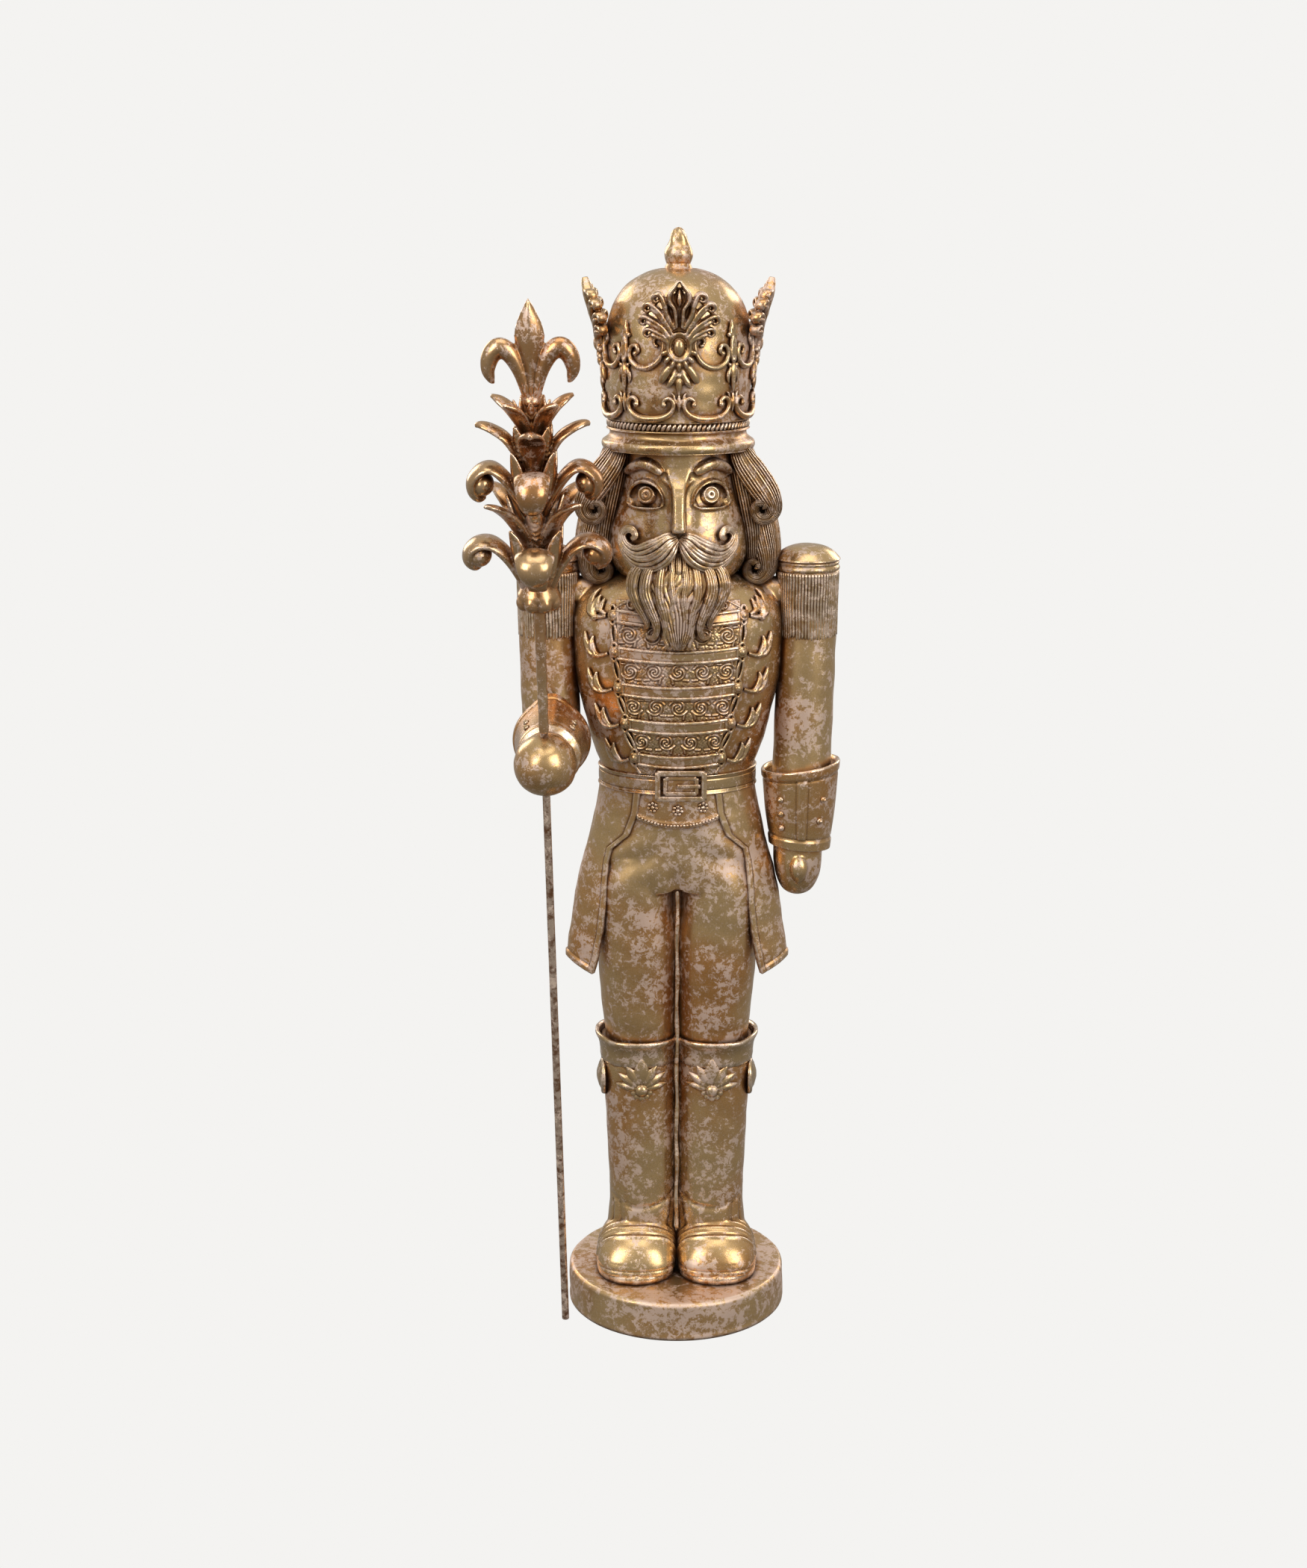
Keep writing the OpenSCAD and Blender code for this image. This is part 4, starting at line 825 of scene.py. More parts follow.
def ringOfCopies(name, source, material, **values):  # the source faces forward, it is used up
    mesh = bpy.data.meshes.new(name)
    made = bpy.data.objects.new(name, mesh)
    bpy.context.scene.collection.objects.link(made)
    mod = made.modifiers.new("copies", "NODES")
    mod.node_group = copiesTree
    sockets = {s.name: s.identifier for s in copiesTree.interface.items_tree if s.in_out == "INPUT"}
    mod[sockets["Piece"]] = source
    mod[sockets["Finish"]] = material
    labels = {"count": "Count", "wide": "Half width", "deep": "Half depth", "height": "Height",
              "start": "Start",
              "sizeJitter": "Size jitter", "turnJitter": "Turn jitter", "seed": "Seed"}
    for key, value in values.items():
        mod[sockets[labels[key]]] = value
    plainMesh(made)
    old = source.data
    bpy.data.objects.remove(source)
    bpy.data.meshes.remove(old)
    made.data.shade_smooth()
    return made


def shift(made, move):  # moves the mesh, the object stays at the origin
    n = len(made.data.vertices)
    co = np.zeros(n * 3, np.float32)
    made.data.vertices.foreach_get("co", co)
    co = co.reshape(-1, 3).astype(float)
    made.data.vertices.foreach_set("co", (co + np.asarray(move, float) * mm).astype(np.float32).ravel())
    made.data.update()
    return made


def join(name, pieces):
    for o in bpy.context.selected_objects:
        o.select_set(False)
    for o in pieces:
        o.select_set(True)
    bpy.context.view_layer.objects.active = pieces[0]
    bpy.ops.object.join()
    pieces[0].name = name
    return pieces[0]


# torso
torsoSkin = Skin([(296, 0, 0, 40.8, 29.4), (306, 0, 0, 41.0, 29.5), (316, 0, 0, 42.0, 30.0),
                  (323, 0, 0, 44.6, 31.2), (331, 0, 0, 47.2, 32.8), (339, 0, 0, 49.2, 34.2),
                  (350, 0, 0, 52.0, 35.6),
                  (364, 0, 0, 55.0, 36.8), (380, 0, 0, 56.8, 37.2), (392, 0, 0, 57.2, 36.8),
                  (400, 0, 0, 56.4, 35.8), (406, 0, 0, 54.0, 34.0), (411, 0, 0, 50.2, 31.0),
                  (415, 0, 0, 44.5, 28.0), (418.4, 0, 0, 38, 25.0), (420.6, 0, 0, 31, 22.5),
                  (422.5, 0, 0, 22, 19)], 2.1)


def makeTorso():
    c = Clay()
    torsoSkin.solid(c, waist + 0.5, neck + 3.2, 80, 140)
    for side in (-1, 1):  # shoulder bosses that meet the arms
        path = np.column_stack([np.linspace(36, 59, 12) * side, np.zeros(12), np.full(12, neck - 8.6)])
        c.sweep(path, (0, -1, 0), 8.6, 8.6, 40)
    made = cast(c, "torso", 0.9, 4)

    def relief(co, nor):
        return 0.25 * ripple(co, 11, 4.0) + 0.12 * ripple(co, 4, 6.0)
    settle(carve(made, relief), agedGold, stands=["torso"])


# engraved breast plate and frogging
frog = {"rows": 5, "gap": 5.6, "cord": 1.05, "sag": 1.7, "plate": 1.3, "scroll": 0.62, "chest": 108,
        "reach": 0.3, "taper": 0.0065}
barLow, barHigh = box("frog_bars")
rowTop = barHigh[2] - 0.4
rowPitch = (rowTop - barLow[2] - 1.4 - 6.2) / (frog["rows"] - 1)
halves = [frog["reach"] * frog["chest"] - frog["taper"] * frog["chest"] * i * i for i in range(frog["rows"])]
rowZ = [rowTop - rowPitch * i for i in range(frog["rows"])]


def plateHalf(z):
    return np.interp(-np.asarray(z, float), [-r for r in rowZ], halves) + 0.2


def scrollwork():  # centre lines of the engraved scrolls, as (x, z) points
    lines = []
    for i in range(frog["rows"]):
        high = rowZ[i] - frog["gap"] - 1.6
        low = rowZ[i + 1] + 1.6 if i < frog["rows"] - 1 else beltTop + 1.5
        if high - low < 4:
            continue
        mid, r = (high + low) / 2, min(4.9, (high - low) / 2 - 0.4)
        half = halves[i]
        count = max(2, int(2 * half / (r * 2.35)))
        for k in range(count):
            x = (k - (count - 1) / 2) * (2 * half / count)
            d = 1 if (k + i) % 2 else -1
            for flip in (0, math.pi):
                arm = spiral((x, mid), 0.4 + flip, 1.15, r, 0.7, 60)
                arm[:, 0] = x + (arm[:, 0] - x) * d
                lines.append(arm)
            for a in (0.9, 2.2, 4.0, 5.3):  # little leaf strokes between the scrolls
                p = np.array([x + d * r * 1.02 * math.cos(a), mid + r * 1.02 * math.sin(a)])
                q = p + np.array([d * math.cos(a + 0.9), math.sin(a + 0.9)]) * 2.4
                lines.append(np.linspace(p, q, 12))
    z = rowZ[0] + 3
    for x in (-24, -14, 14, 24):
        lines.append(spiral((x, z), 1.0, 1.2, 3.6, 0.6, 50))
    return np.concatenate(lines)


def makePlate():
    lines = scrollwork()
    tree = KDTree(len(lines))
    for k, p in enumerate(lines):
        tree.insert((p[0], p[1], 0), k)
    tree.balance()
    zs = np.linspace(beltTop + 0.4, rowZ[0] + 5.2, 250)
    ts = np.linspace(-1, 1, 210)
    grid = []
    for z in zs:
        half = plateHalf(z)
        x = ts * half
        near = np.array([tree.find((px, z, 0))[2] for px in x])
        line = np.exp(-((near / 0.42) ** 2)) * frog["scroll"] - 0.28 * np.exp(-(((near - 1.0) / 0.5) ** 2))
        swirl = np.sin(z * 2.6 + 1.1 * np.sin(x * 1.3))
        field = 0.16 * np.sin(x * 2.9 + 1.3 * np.sin(z * 1.7)) * swirl * (near > 1.3)
        rim = ease(half, half - 1.2, np.abs(x))
        grid.append(torsoSkin.front(x, z, frog["plate"])
                    + torsoSkin.normal(x, np.full_like(x, z)) * ((line + field) * rim)[:, None])
    grid = np.array(grid)
    back = np.array([torsoSkin.front(ts * plateHalf(z), z, -0.8) for z in zs])
    c = Clay().rings(np.concatenate([grid, back[:, ::-1]], 1))
    settle(c.object("breastPlate"), trimGold, stands=["breast_panel"])


def onChest(x, z, lift):
    x, z = np.broadcast_arrays(np.asarray(x, float), np.asarray(z, float))
    return torsoSkin.front(x, z, lift)


def makeFrogging():
    bars, cords, knots, tassels = Clay(), Clay(), Clay(), Clay()
    r = frog["cord"]
    for i in range(frog["rows"]):
        half, z0 = halves[i] + 0.2, rowZ[i]
        x = np.linspace(-half, half, 60)
        sag = frog["sag"] * (1 - (x / half) ** 2)
        up = torsoSkin.normal(x, z0 - sag)
        for drop in (0, frog["gap"]):
            z = z0 - sag - drop
            rag = r * (1 + 0.06 * np.sin(x * 1.9 + i))
            bars.sweep(onChest(x, z, frog["plate"] + 0.7), up, rag, rag * 1.1, 14)
        z = z0 - sag - frog["gap"] / 2
        bars.sweep(onChest(x, z, frog["plate"] + 0.1), up, frog["gap"] / 2 - 0.6, 0.75, 20, grooves=5,
                   depth=0.25, power=4)
        for side in (-1, 1):
            kx, kz = side * (halves[i] + 1.9), z0 - frog["gap"] / 2 + 0.3
            centre = onChest(kx, kz, 1.6)
            out = torsoSkin.normal(np.array(kx), np.array(kz))
            basis = np.array([unit(np.cross(out, (0, 0, 1))), unit(np.cross(np.cross(out, (0, 0, 1)), out)),
                              out])
            knots.lathe([(0.02, -1.5), (2.9, -1.5), (3.1, 0.2), (2.5, 1.1), (2.0, 0.9), (1.5, 1.5), (0.8, 2.0),
                         (0.02, 2.1)], centre, 30, basis)
            loopT = np.linspace(0, tau, 26)
            loop = np.column_stack([kx + 1.9 * np.sin(loopT) * side, kz + 5.0 * np.cos(loopT)])
            knots.sweep(onChest(loop[:, 0], loop[:, 1], 1.2), torsoSkin.normal(loop[:, 0], loop[:, 1]), 0.85,
                        1.0, 10)
            wrapT = np.linspace(-1, 1, 12)
            knots.sweep(onChest(kx - side * (2.6 + 0 * wrapT), kz + 4.0 * wrapT, 2.2), out, 0.7, 0.8, 10)
            # tassel: out from the knot, a little down, then up into a fish tail
            rx = torsoSkin.row(kz)[2]
            a0 = math.asin(min(0.93, abs(kx) / rx))
            for shape in ([(2.0, -1.0, 0.9, 1.1), (5.5, -2.4, 1.1, 1.3), (9.6, -2.8, 1.7, 1.7),
                           (13.0, -1.4, 2.5, 1.9), (15.2, 2.0, 2.6, 1.7), (16.4, 6.0, 1.6, 1.3),
                           (17.0, 9.4, 0.4, 0.5)],
                          [(8.6, -2.2, 1.0, 1.3), (11.2, 0.6, 1.9, 1.7), (11.8, 4.2, 1.6, 1.4),
                           (10.8, 7.6, 0.4, 0.5)]):
                p = curve(shape, 24)
                a = side * (a0 + p[:, 0] / 47)
                zz = kz + p[:, 1] + (2.2 if i == 0 else 0) * p[:, 0] / 14
                path = torsoSkin.around(a, zz, 1.1)
                away = unit(np.column_stack([path[:, 0], path[:, 1] * 1.6, 0 * zz]))
                tassels.sweep(path, away, p[:, 2], p[:, 3], 12, grooves=2, depth=0.2)
            tassels.ball(torsoSkin.around(side * (a0 + 9.4 / 47), kz - 2.4, 1.4), (1.7, 1.7, 1.7), 14)
            if i < frog["rows"] - 1:  # two thin upright cords down to the next knot
                kx2, kz2 = side * (halves[i + 1] + 1.9), rowZ[i + 1] - frog["gap"] / 2 + 0.3
                for off in (-1.25, 1.25):
                    t = np.linspace(0, 1, 24)
                    x = kx + (kx2 - kx) * t + off * (0.6 + 0.5 * np.sin(t * math.pi)) * side
                    zz = kz - 4.4 + (kz2 + 4.4 - kz + 4.4) * t
                    cords.sweep(onChest(x, zz, 1.0), torsoSkin.normal(x, zz), 0.85, 0.95, 10)
            else:
                t = np.linspace(0, 1, 16)
                x, zz = kx - side * 3.2 * t, kz - 4 - (kz - 4 - beltTop - 0.6) * t
                cords.sweep(onChest(x, zz, 1.0), torsoSkin.normal(x, zz), 0.85, 0.95, 10)
    for side in (-1, 1):  # slanting pair that climbs from the top knots to the beard
        kx, kz = halves[0] + 1.9, rowZ[0] - frog["gap"] / 2 + 0.3
        for off in (0, 2.4):
            t = np.linspace(0, 1, 24)
            x = side * (kx - 1.5 - (kx - 17.0 + off) * t)
            zz = kz + 3.4 + (8.2 + off * 0.6) * t**0.85
            cords.sweep(onChest(x, zz, 0.9), torsoSkin.normal(x, zz), 0.85, 0.95, 10)
        for shape in ([(0, 4.5, 1.0, 1.2), (5.0, 6.2, 1.4, 1.4), (9.0, 7.4, 2.0, 1.5), (11.0, 10.4, 2.1, 1.4),
                       (11.4, 13.4, 0.5, 0.6)],
                      [(5.0, 6.6, 1.0, 1.1), (6.2, 9.4, 1.5, 1.3), (5.4, 12.4, 0.4, 0.6)]):
            p = curve(shape, 22)
            rx = torsoSkin.row(kz + 6)[2]
            a = side * (math.asin(min(0.9, kx / rx)) + p[:, 0] / 60)
            path = torsoSkin.around(a, kz + p[:, 1] - 4.5, 1.2)
            tassels.sweep(path, unit(np.column_stack([path[:, 0], path[:, 1] * 1.6, 14 + 0 * a])), p[:, 2],
                          p[:, 3], 12)
    settle(bars.object("frogBars"), trimGold, stands=["frog_bars"])
    settle(cast(cords, "frogCords", 0.34, 1), trimGold, stands=["frog_cords"])
    settle(cast(knots, "frogKnots", 0.32, 1), trimGold, stands=["frog_knots"])
    settle(cast(tassels, "frogTassels", 0.36, 1), trimGold, stands=["frog_tassels"])


collar = {"radius": 26.3, "strands": 3, "twists": 26, "cord": 1.25}


def makeCollar():  # twisted rope round the neck
    c = Clay()
    for strand in range(collar["strands"]):
        t = np.linspace(0, 1, 420)
        a, twist = t * tau, t * tau * collar["twists"] + strand * tau / collar["strands"]
        r = collar["radius"] + 1.05 * np.cos(twist)
        path = np.column_stack([r * np.sin(a), -r * np.cos(a) * 0.98, neck + 1.0 + 1.05 * np.sin(twist)])
        c.sweep(path, (0, 0, 1), collar["cord"], collar["cord"], 8)
    settle(c.object("collarRope"), trimGold, stands=["collar"])


# head
headSkin = Skin([(414, 0, 0, 20, 20), (417, 0, -0.5, 25.5, 24.5), (420, 0, -1, 30.4, 29.4),
                 (424, 0, -1.2, 33.8, 32.6), (430, 0, -1.2, 36.6, 34.8), (438, 0, -1, 37.6, 35.6),
                 (446, 0, -0.6, 36.8, 35.4),
                 (454, 0, -0.3, 34.6, 34.8), (464, 0, 0, 31.6, 33.8), (475, 0, 0, 29.2, 33.0),
                 (488, 0, 0, 28.6, 32.6), (494, 0, 0, 28.6, 32.6)], 2.25)
face = {"eyeX": 17.0, "eyeZ": 464.6, "eyeR": 5.5}


def onFace(points, lift=0.0):  # rows of (x, z) or (x, z, extra lift)
    p = np.asarray(points, float)
    extra = p[:, 2] if p.shape[1] > 2 else 0
    return headSkin.front(p[:, 0], p[:, 1], lift) + headSkin.normal(p[:, 0], p[:, 1]) * np.reshape(extra,
            (-1, 1))


def faceSweep(c, rows, lift=0.0, sides=14, **kw):  # rows of x, z, half width, half thickness
    p = curve(rows, 40)
    c.sweep(onFace(p[:, :2], lift), headSkin.normal(p[:, 0], p[:, 1]), p[:, 2], p[:, 3], sides, **kw)


def makeHead():
    c = Clay()
    headSkin.solid(c, neck - 1, brim + 3, 100, 150)
    half = Clay()
    # brow ridge that runs out of the nose, sausage brow, cheek
    faceSweep(half, [(1.8, 462, 1.4, 3.0), (2.6, 467, 1.5, 2.8), (4.2, 470.4, 1.4, 2.0), (6.2, 472.0, 1.1, 1.1),
                     (7.6, 472.8, 0.7, 0.5)])
    faceSweep(half, [(8.6, 476.0, 1.6, 1.8), (10.4, 477.6, 2.6, 2.9), (14.0, 479.8, 3.0, 3.3),
                     (18.6, 480.8, 2.9, 3.2), (23.6, 478.8, 2.5, 2.7), (27.4, 475.4, 1.5, 1.6)], 0.9, grooves=3,
              depth=0.10)
    # lids
    x, z = face["eyeX"], face["eyeZ"]
    faceSweep(half, [(x - 9.6, z - 4.6, 0.7, 0.9), (x - 8.2, z + 0.4, 1.3, 2.0), (x - 3.6, z + 6.0, 1.5, 2.4),
                     (x + 2.2, z + 6.9, 1.5, 2.4), (x + 7.0, z + 3.0, 1.4, 2.2), (x + 9.2, z - 3.6, 1.0, 1.5),
                     (x + 9.6, z - 5.4, 0.6, 0.8)], 0.2)
    faceSweep(half, [(x - 9.4, z - 5.0, 0.6, 0.7), (x - 5, z - 6.2, 1.0, 1.3), (x + 1, z - 6.6, 1.1, 1.5),
                     (x + 6, z - 6.2, 1.0, 1.3), (x + 9.6, z - 5.2, 0.6, 0.8)], 0.1)
    c.mirror(half).include(half)
    # square nose with a flat underside
    rows = []
    for z, w, out in ((446.9, 3.2, 10.0), (447.3, 3.7, 11.2), (449, 3.8, 11.6), (453, 3.6, 10.9),
                      (459, 3.4, 8.9), (465, 3.4, 7.0), (469, 3.8, 5.2), (472, 5.0, 3.2), (476, 6.4, 1.2),
                      (480, 7.5, -0.8)):
        base = headSkin.row(z)
        a = np.arange(40) / 40 * tau
        e = 2 / 5.0
        front, rear = base[1] - base[3] - out, base[1] - base[3] + 6
        rows.append(np.stack([w * np.sign(np.cos(a)) * np.abs(np.cos(a)) ** e, (front + rear) / 2
                              + (rear - front) / 2 * np.sign(np.sin(a)) * np.abs(np.sin(a)) ** e,
                              np.full(40, z)], -1))
    c.rings(rows)

    made = cast(c, "head", 0.55, 2)

    def relief(co, nor):
        x, y, z = co.T
        ax = np.abs(x)
        front = ease(-10, -18, y)
        u, v = (ax - face["eyeX"]), (z - face["eyeZ"])
        # eye opening with a flat lower edge
        opening = ease(1.0, 0.80, np.sqrt((u / 8.6) ** 2 + ((v + 1.2) / 7.4) ** 2)) * ease(-5.8, -4.8, v)
        d = -2.3 * opening * front
        # soft hollow round the socket and beside the nose
        d -= 0.35 * np.exp(-((u / 13) ** 2 + ((v - 1.5) / 11) ** 2)) * front
        d -= 0.9 * np.exp(-(((ax - 7.2) / 2.6) ** 2 + ((z - 458) / 9) ** 2)) * front
        d += 0.22 * ripple(co, 8, 9.0) + 0.10 * ripple(co, 3, 2.0)
        # faint engraved spiral lines beside the brows
        d -= 0.25 * np.exp(-((np.hypot(ax - 27.0, z - 470) - 3.5) / 0.4) ** 2) * (y < -8)
        return d
    settle(carve(made, relief), agedGold, stands=["head"])
    eyes = Clay()
    for side in (-1, 1):
        centre = headSkin.front(np.array(side * (face["eyeX"] - 0.6)), np.array(face["eyeZ"] + 0.2), -1.5)
        out = headSkin.normal(np.array(side * face["eyeX"]), np.array(face["eyeZ"])) * [0.55, 1, 1]
        out = unit(out)
        basis = np.array([unit(np.cross(out, (0, 0, 1))), unit(np.cross(np.cross(out, (0, 0, 1)), out)), out])
        r = face["eyeR"]
        eyes.lathe([(0.02, -3), (r, -2.4), (r + 0.15, -0.4), (r - 0.3, 0.9), (r - 1.1, 2.0), (r - 1.5, 2.45),
                    (r - 1.9, 2.35), (r - 2.4, 2.0), (r - 2.8, 2.15), (r - 3.3, 2.5), (0.9, 2.7), (0.5, 2.2),
                    (0.02, 2.0)], centre, 44, basis)
    settle(eyes.object("eyes"), trimGold)


whisker = {"strands": 8, "spread": 0.84, "width": 0.135, "least": 0.28}


def makeMoustache():
    half = Clay()
    spine = [(0.8, 443.8, 2.8, 2.6), (4.5, 441.6, 5.8, 5.0), (9.0, 437.4, 8.2, 6.4), (14.0, 434.4, 8.8, 6.4),
             (19.5, 433.4, 7.4, 5.4), (24.2, 435.2, 5.0, 4.2), (27.8, 439.0, 3.3, 3.3), (28.8, 443.4, 2.4, 2.6),
             (26.8, 446.8, 2.0, 2.2), (23.6, 446.8, 1.7, 2.0), (22.2, 444.0, 1.5, 1.8), (23.8, 442.2, 1.2, 1.4)]
    p = curve(spine, 90)
    normal = headSkin.normal(p[:, 0], p[:, 1])
    base = headSkin.front(p[:, 0], p[:, 1], 1.8)
    base[:, 1] -= 2.4 * np.exp(-((p[:, 0] - 9) / 10) ** 2)
    half.sweep(base, normal, p[:, 2] * 0.90, p[:, 3] * 0.74, 60, power=2.0)
    # strands laid side by side from the middle of the lip to the curled tip
    tangent = unit(np.gradient(base, axis=0))
    sideways = unit(np.cross(tangent, normal))
    n = len(p)
    t = np.linspace(0, 1, n)
    for k, off in enumerate(np.linspace(-whisker["spread"], whisker["spread"], whisker["strands"])):
        wander = off + 0.05 * np.sin(t * 7 + k * 2.1)
        path = base + sideways * (p[:, 2] * wander)[:,
                None] + normal * (p[:, 3] * 0.72 * np.sqrt(np.clip(1 - wander * wander, 0.05, 1)))[:, None]
        fat = p[:, 2] * whisker["width"] + whisker["least"]
        half.sweep(path, normal, fat, fat * 0.95 + 0.15, 12)
    both = Clay().mirror(half).include(half)
    settle(both.object("moustache"), hairGold, stands=["moustache"])


beard = {"strands": 12.0, "ridge": 0.75, "sway": 1.5}
# one side of the beard, each lock has its number of grooves and rows of x, z, half width
beardLocks = (
    (5, ((12.5, 431.5, 2.0), (15.8, 425, 3.2), (16.8, 416, 3.6), (14.2, 407.5, 3.2), (11.6, 400.5, 2.6),
         (11.0, 395.4, 2.0), (13.0, 391.6, 1.6), (15.8, 391.8, 1.1), (16.8, 393.8, 0.5))),
    (4, ((17.5, 431, 1.8), (21.4, 425.5, 2.9), (22.8, 417, 3.2), (20.6, 409, 2.9), (17.2, 402.5, 2.3),
         (16.0, 398.4, 1.7), (17.6, 396.0, 1.2), (19.4, 396.8, 0.5))),
    (3, ((20.5, 430, 1.3), (24.4, 424, 2.0), (25.4, 417, 2.0), (24.0, 411.5, 1.5), (23.0, 408.0, 0.9),
         (24.2, 406.2, 0.4))),
    (3, ((7.6, 431.5, 1.7), (9.4, 424, 2.4), (9.6, 414, 2.5), (7.2, 405, 2.1), (6.2, 398, 1.8),
         (7.0, 392.4, 1.4), (5.6, 388.0, 1.0), (6.6, 386.2, 0.4))),
    (3, ((2.6, 431.5, 1.3), (3.8, 423, 1.8), (2.8, 413, 1.8), (3.6, 404, 1.6), (2.2, 396, 1.6),
         (3.2, 389.5, 1.2), (1.8, 385.6, 0.5))),
)


def makeBeard():
    c = Clay()
    zs = np.concatenate([[434.0], np.linspace(433.6, 385.2, 230), [384.9]])
    a = np.arange(420) / 420 * tau
    line = [384.9, 386.5, 390, 395, 400, 405, 412, 420, 427, 431, 434]
    wide = np.interp(zs, line, [0.4, 2.6, 5.0, 7.2, 9.6, 14.0, 19.2, 22.0, 22.6, 20.6, 17.5])
    mid = np.interp(zs, line, [-43.5, -42.8, -42.0, -41.0, -40.0, -39.0, -38, -36.5, -34.5, -33, -32])
    deep = np.interp(zs, line, [0.3, 2.2, 3.9, 5.0, 6.2, 7.2, 8.2, 8.8, 8.5, 7.6, 6.2])
    rows = []
    for z, w, m, d in zip(zs, wide, mid, deep):
        across = np.sin(a)
        flow = beard["strands"] * across + 1.1 * np.sin(z / 6.4 + 2.2 * across) + 0.5 * np.sin(z / 3.1
                + 5 * across)
        lift = beard["ridge"] * (np.abs(np.sin(flow * math.pi / 2)) ** 0.8
                                 - 0.6) * np.clip((np.cos(a) + 0.35) * 1.6, 0, 1) * min(1, w / 5)
        sway = beard["sway"] * math.sin(z / 5.6) * np.clip(across, -1, 1) * ease(428, 410, z)
        rows.append(np.stack([(w + lift) * across + sway, m - (d + lift) * np.cos(a), np.full(420, z)], -1))
    c.rings(rows)

    def front(x, z):
        w = np.interp(z, [384, 391, 397, 404, 412, 420, 427, 434], [14, 17.5, 18.5, 20.5, 23.5, 25.0, 25.4, 24])
        m = np.interp(z, [384, 391, 397, 404, 412, 420, 427, 434],
                      [-44.5, -44.6, -45.0, -45.6, -46.0, -45.2, -43.2, -40.0])
        return m + 8.5 * np.clip(np.abs(x) / w, 0, 1) ** 2.6

    def lock(rows, grooves):
        p = curve(rows, 90)
        path = np.column_stack([p[:, 0], front(p[:, 0], p[:, 1]) + 0.9, p[:, 1]])
        bulge = unit(np.column_stack([p[:, 0] * 0.035, -np.ones(90), np.zeros(90)]))
        c.sweep(path, bulge, p[:, 2], p[:, 2] * 0.8, 60, grooves=grooves, depth=0.22)
    for side in (-1, 1):
        for grooves, rows in beardLocks:
            lock([(side * r[0],) + r[1:] for r in rows], grooves)
    # tuft under the lip
    for x in (-3.4, 0, 3.4):
        lock([(x * 0.5, 436.0, 1.3), (x, 431.5, 1.9), (x * 0.9, 426.5, 1.7), (x * 0.4, 423.0, 0.5)], 3)
    settle(c.object("beard"), hairGold, stands=["beard"])


def hairLock(c, rows, deep, y0, y1, grooves=9, lean=0.25):
    # a broad ribbed lock that hangs and rolls into a volute; rows of x, z, half width
    p = curve(rows, 110)
    t = np.linspace(0, 1, len(p))
    path = np.column_stack([p[:, 0], y0 + (y1 - y0) * t, p[:, 1]])
    up = unit(np.column_stack([lean * (1 - t), -np.ones(len(p)), np.zeros(len(p))]))
    c.sweep(path, up, p[:, 2], deep * (p[:, 2] / p[:, 2].max()) ** 0.55, 120, grooves=grooves + 3, depth=0.20,
            power=2.3)


backHair = {"strands": 17, "spread": 1.28, "sway": 0.035}


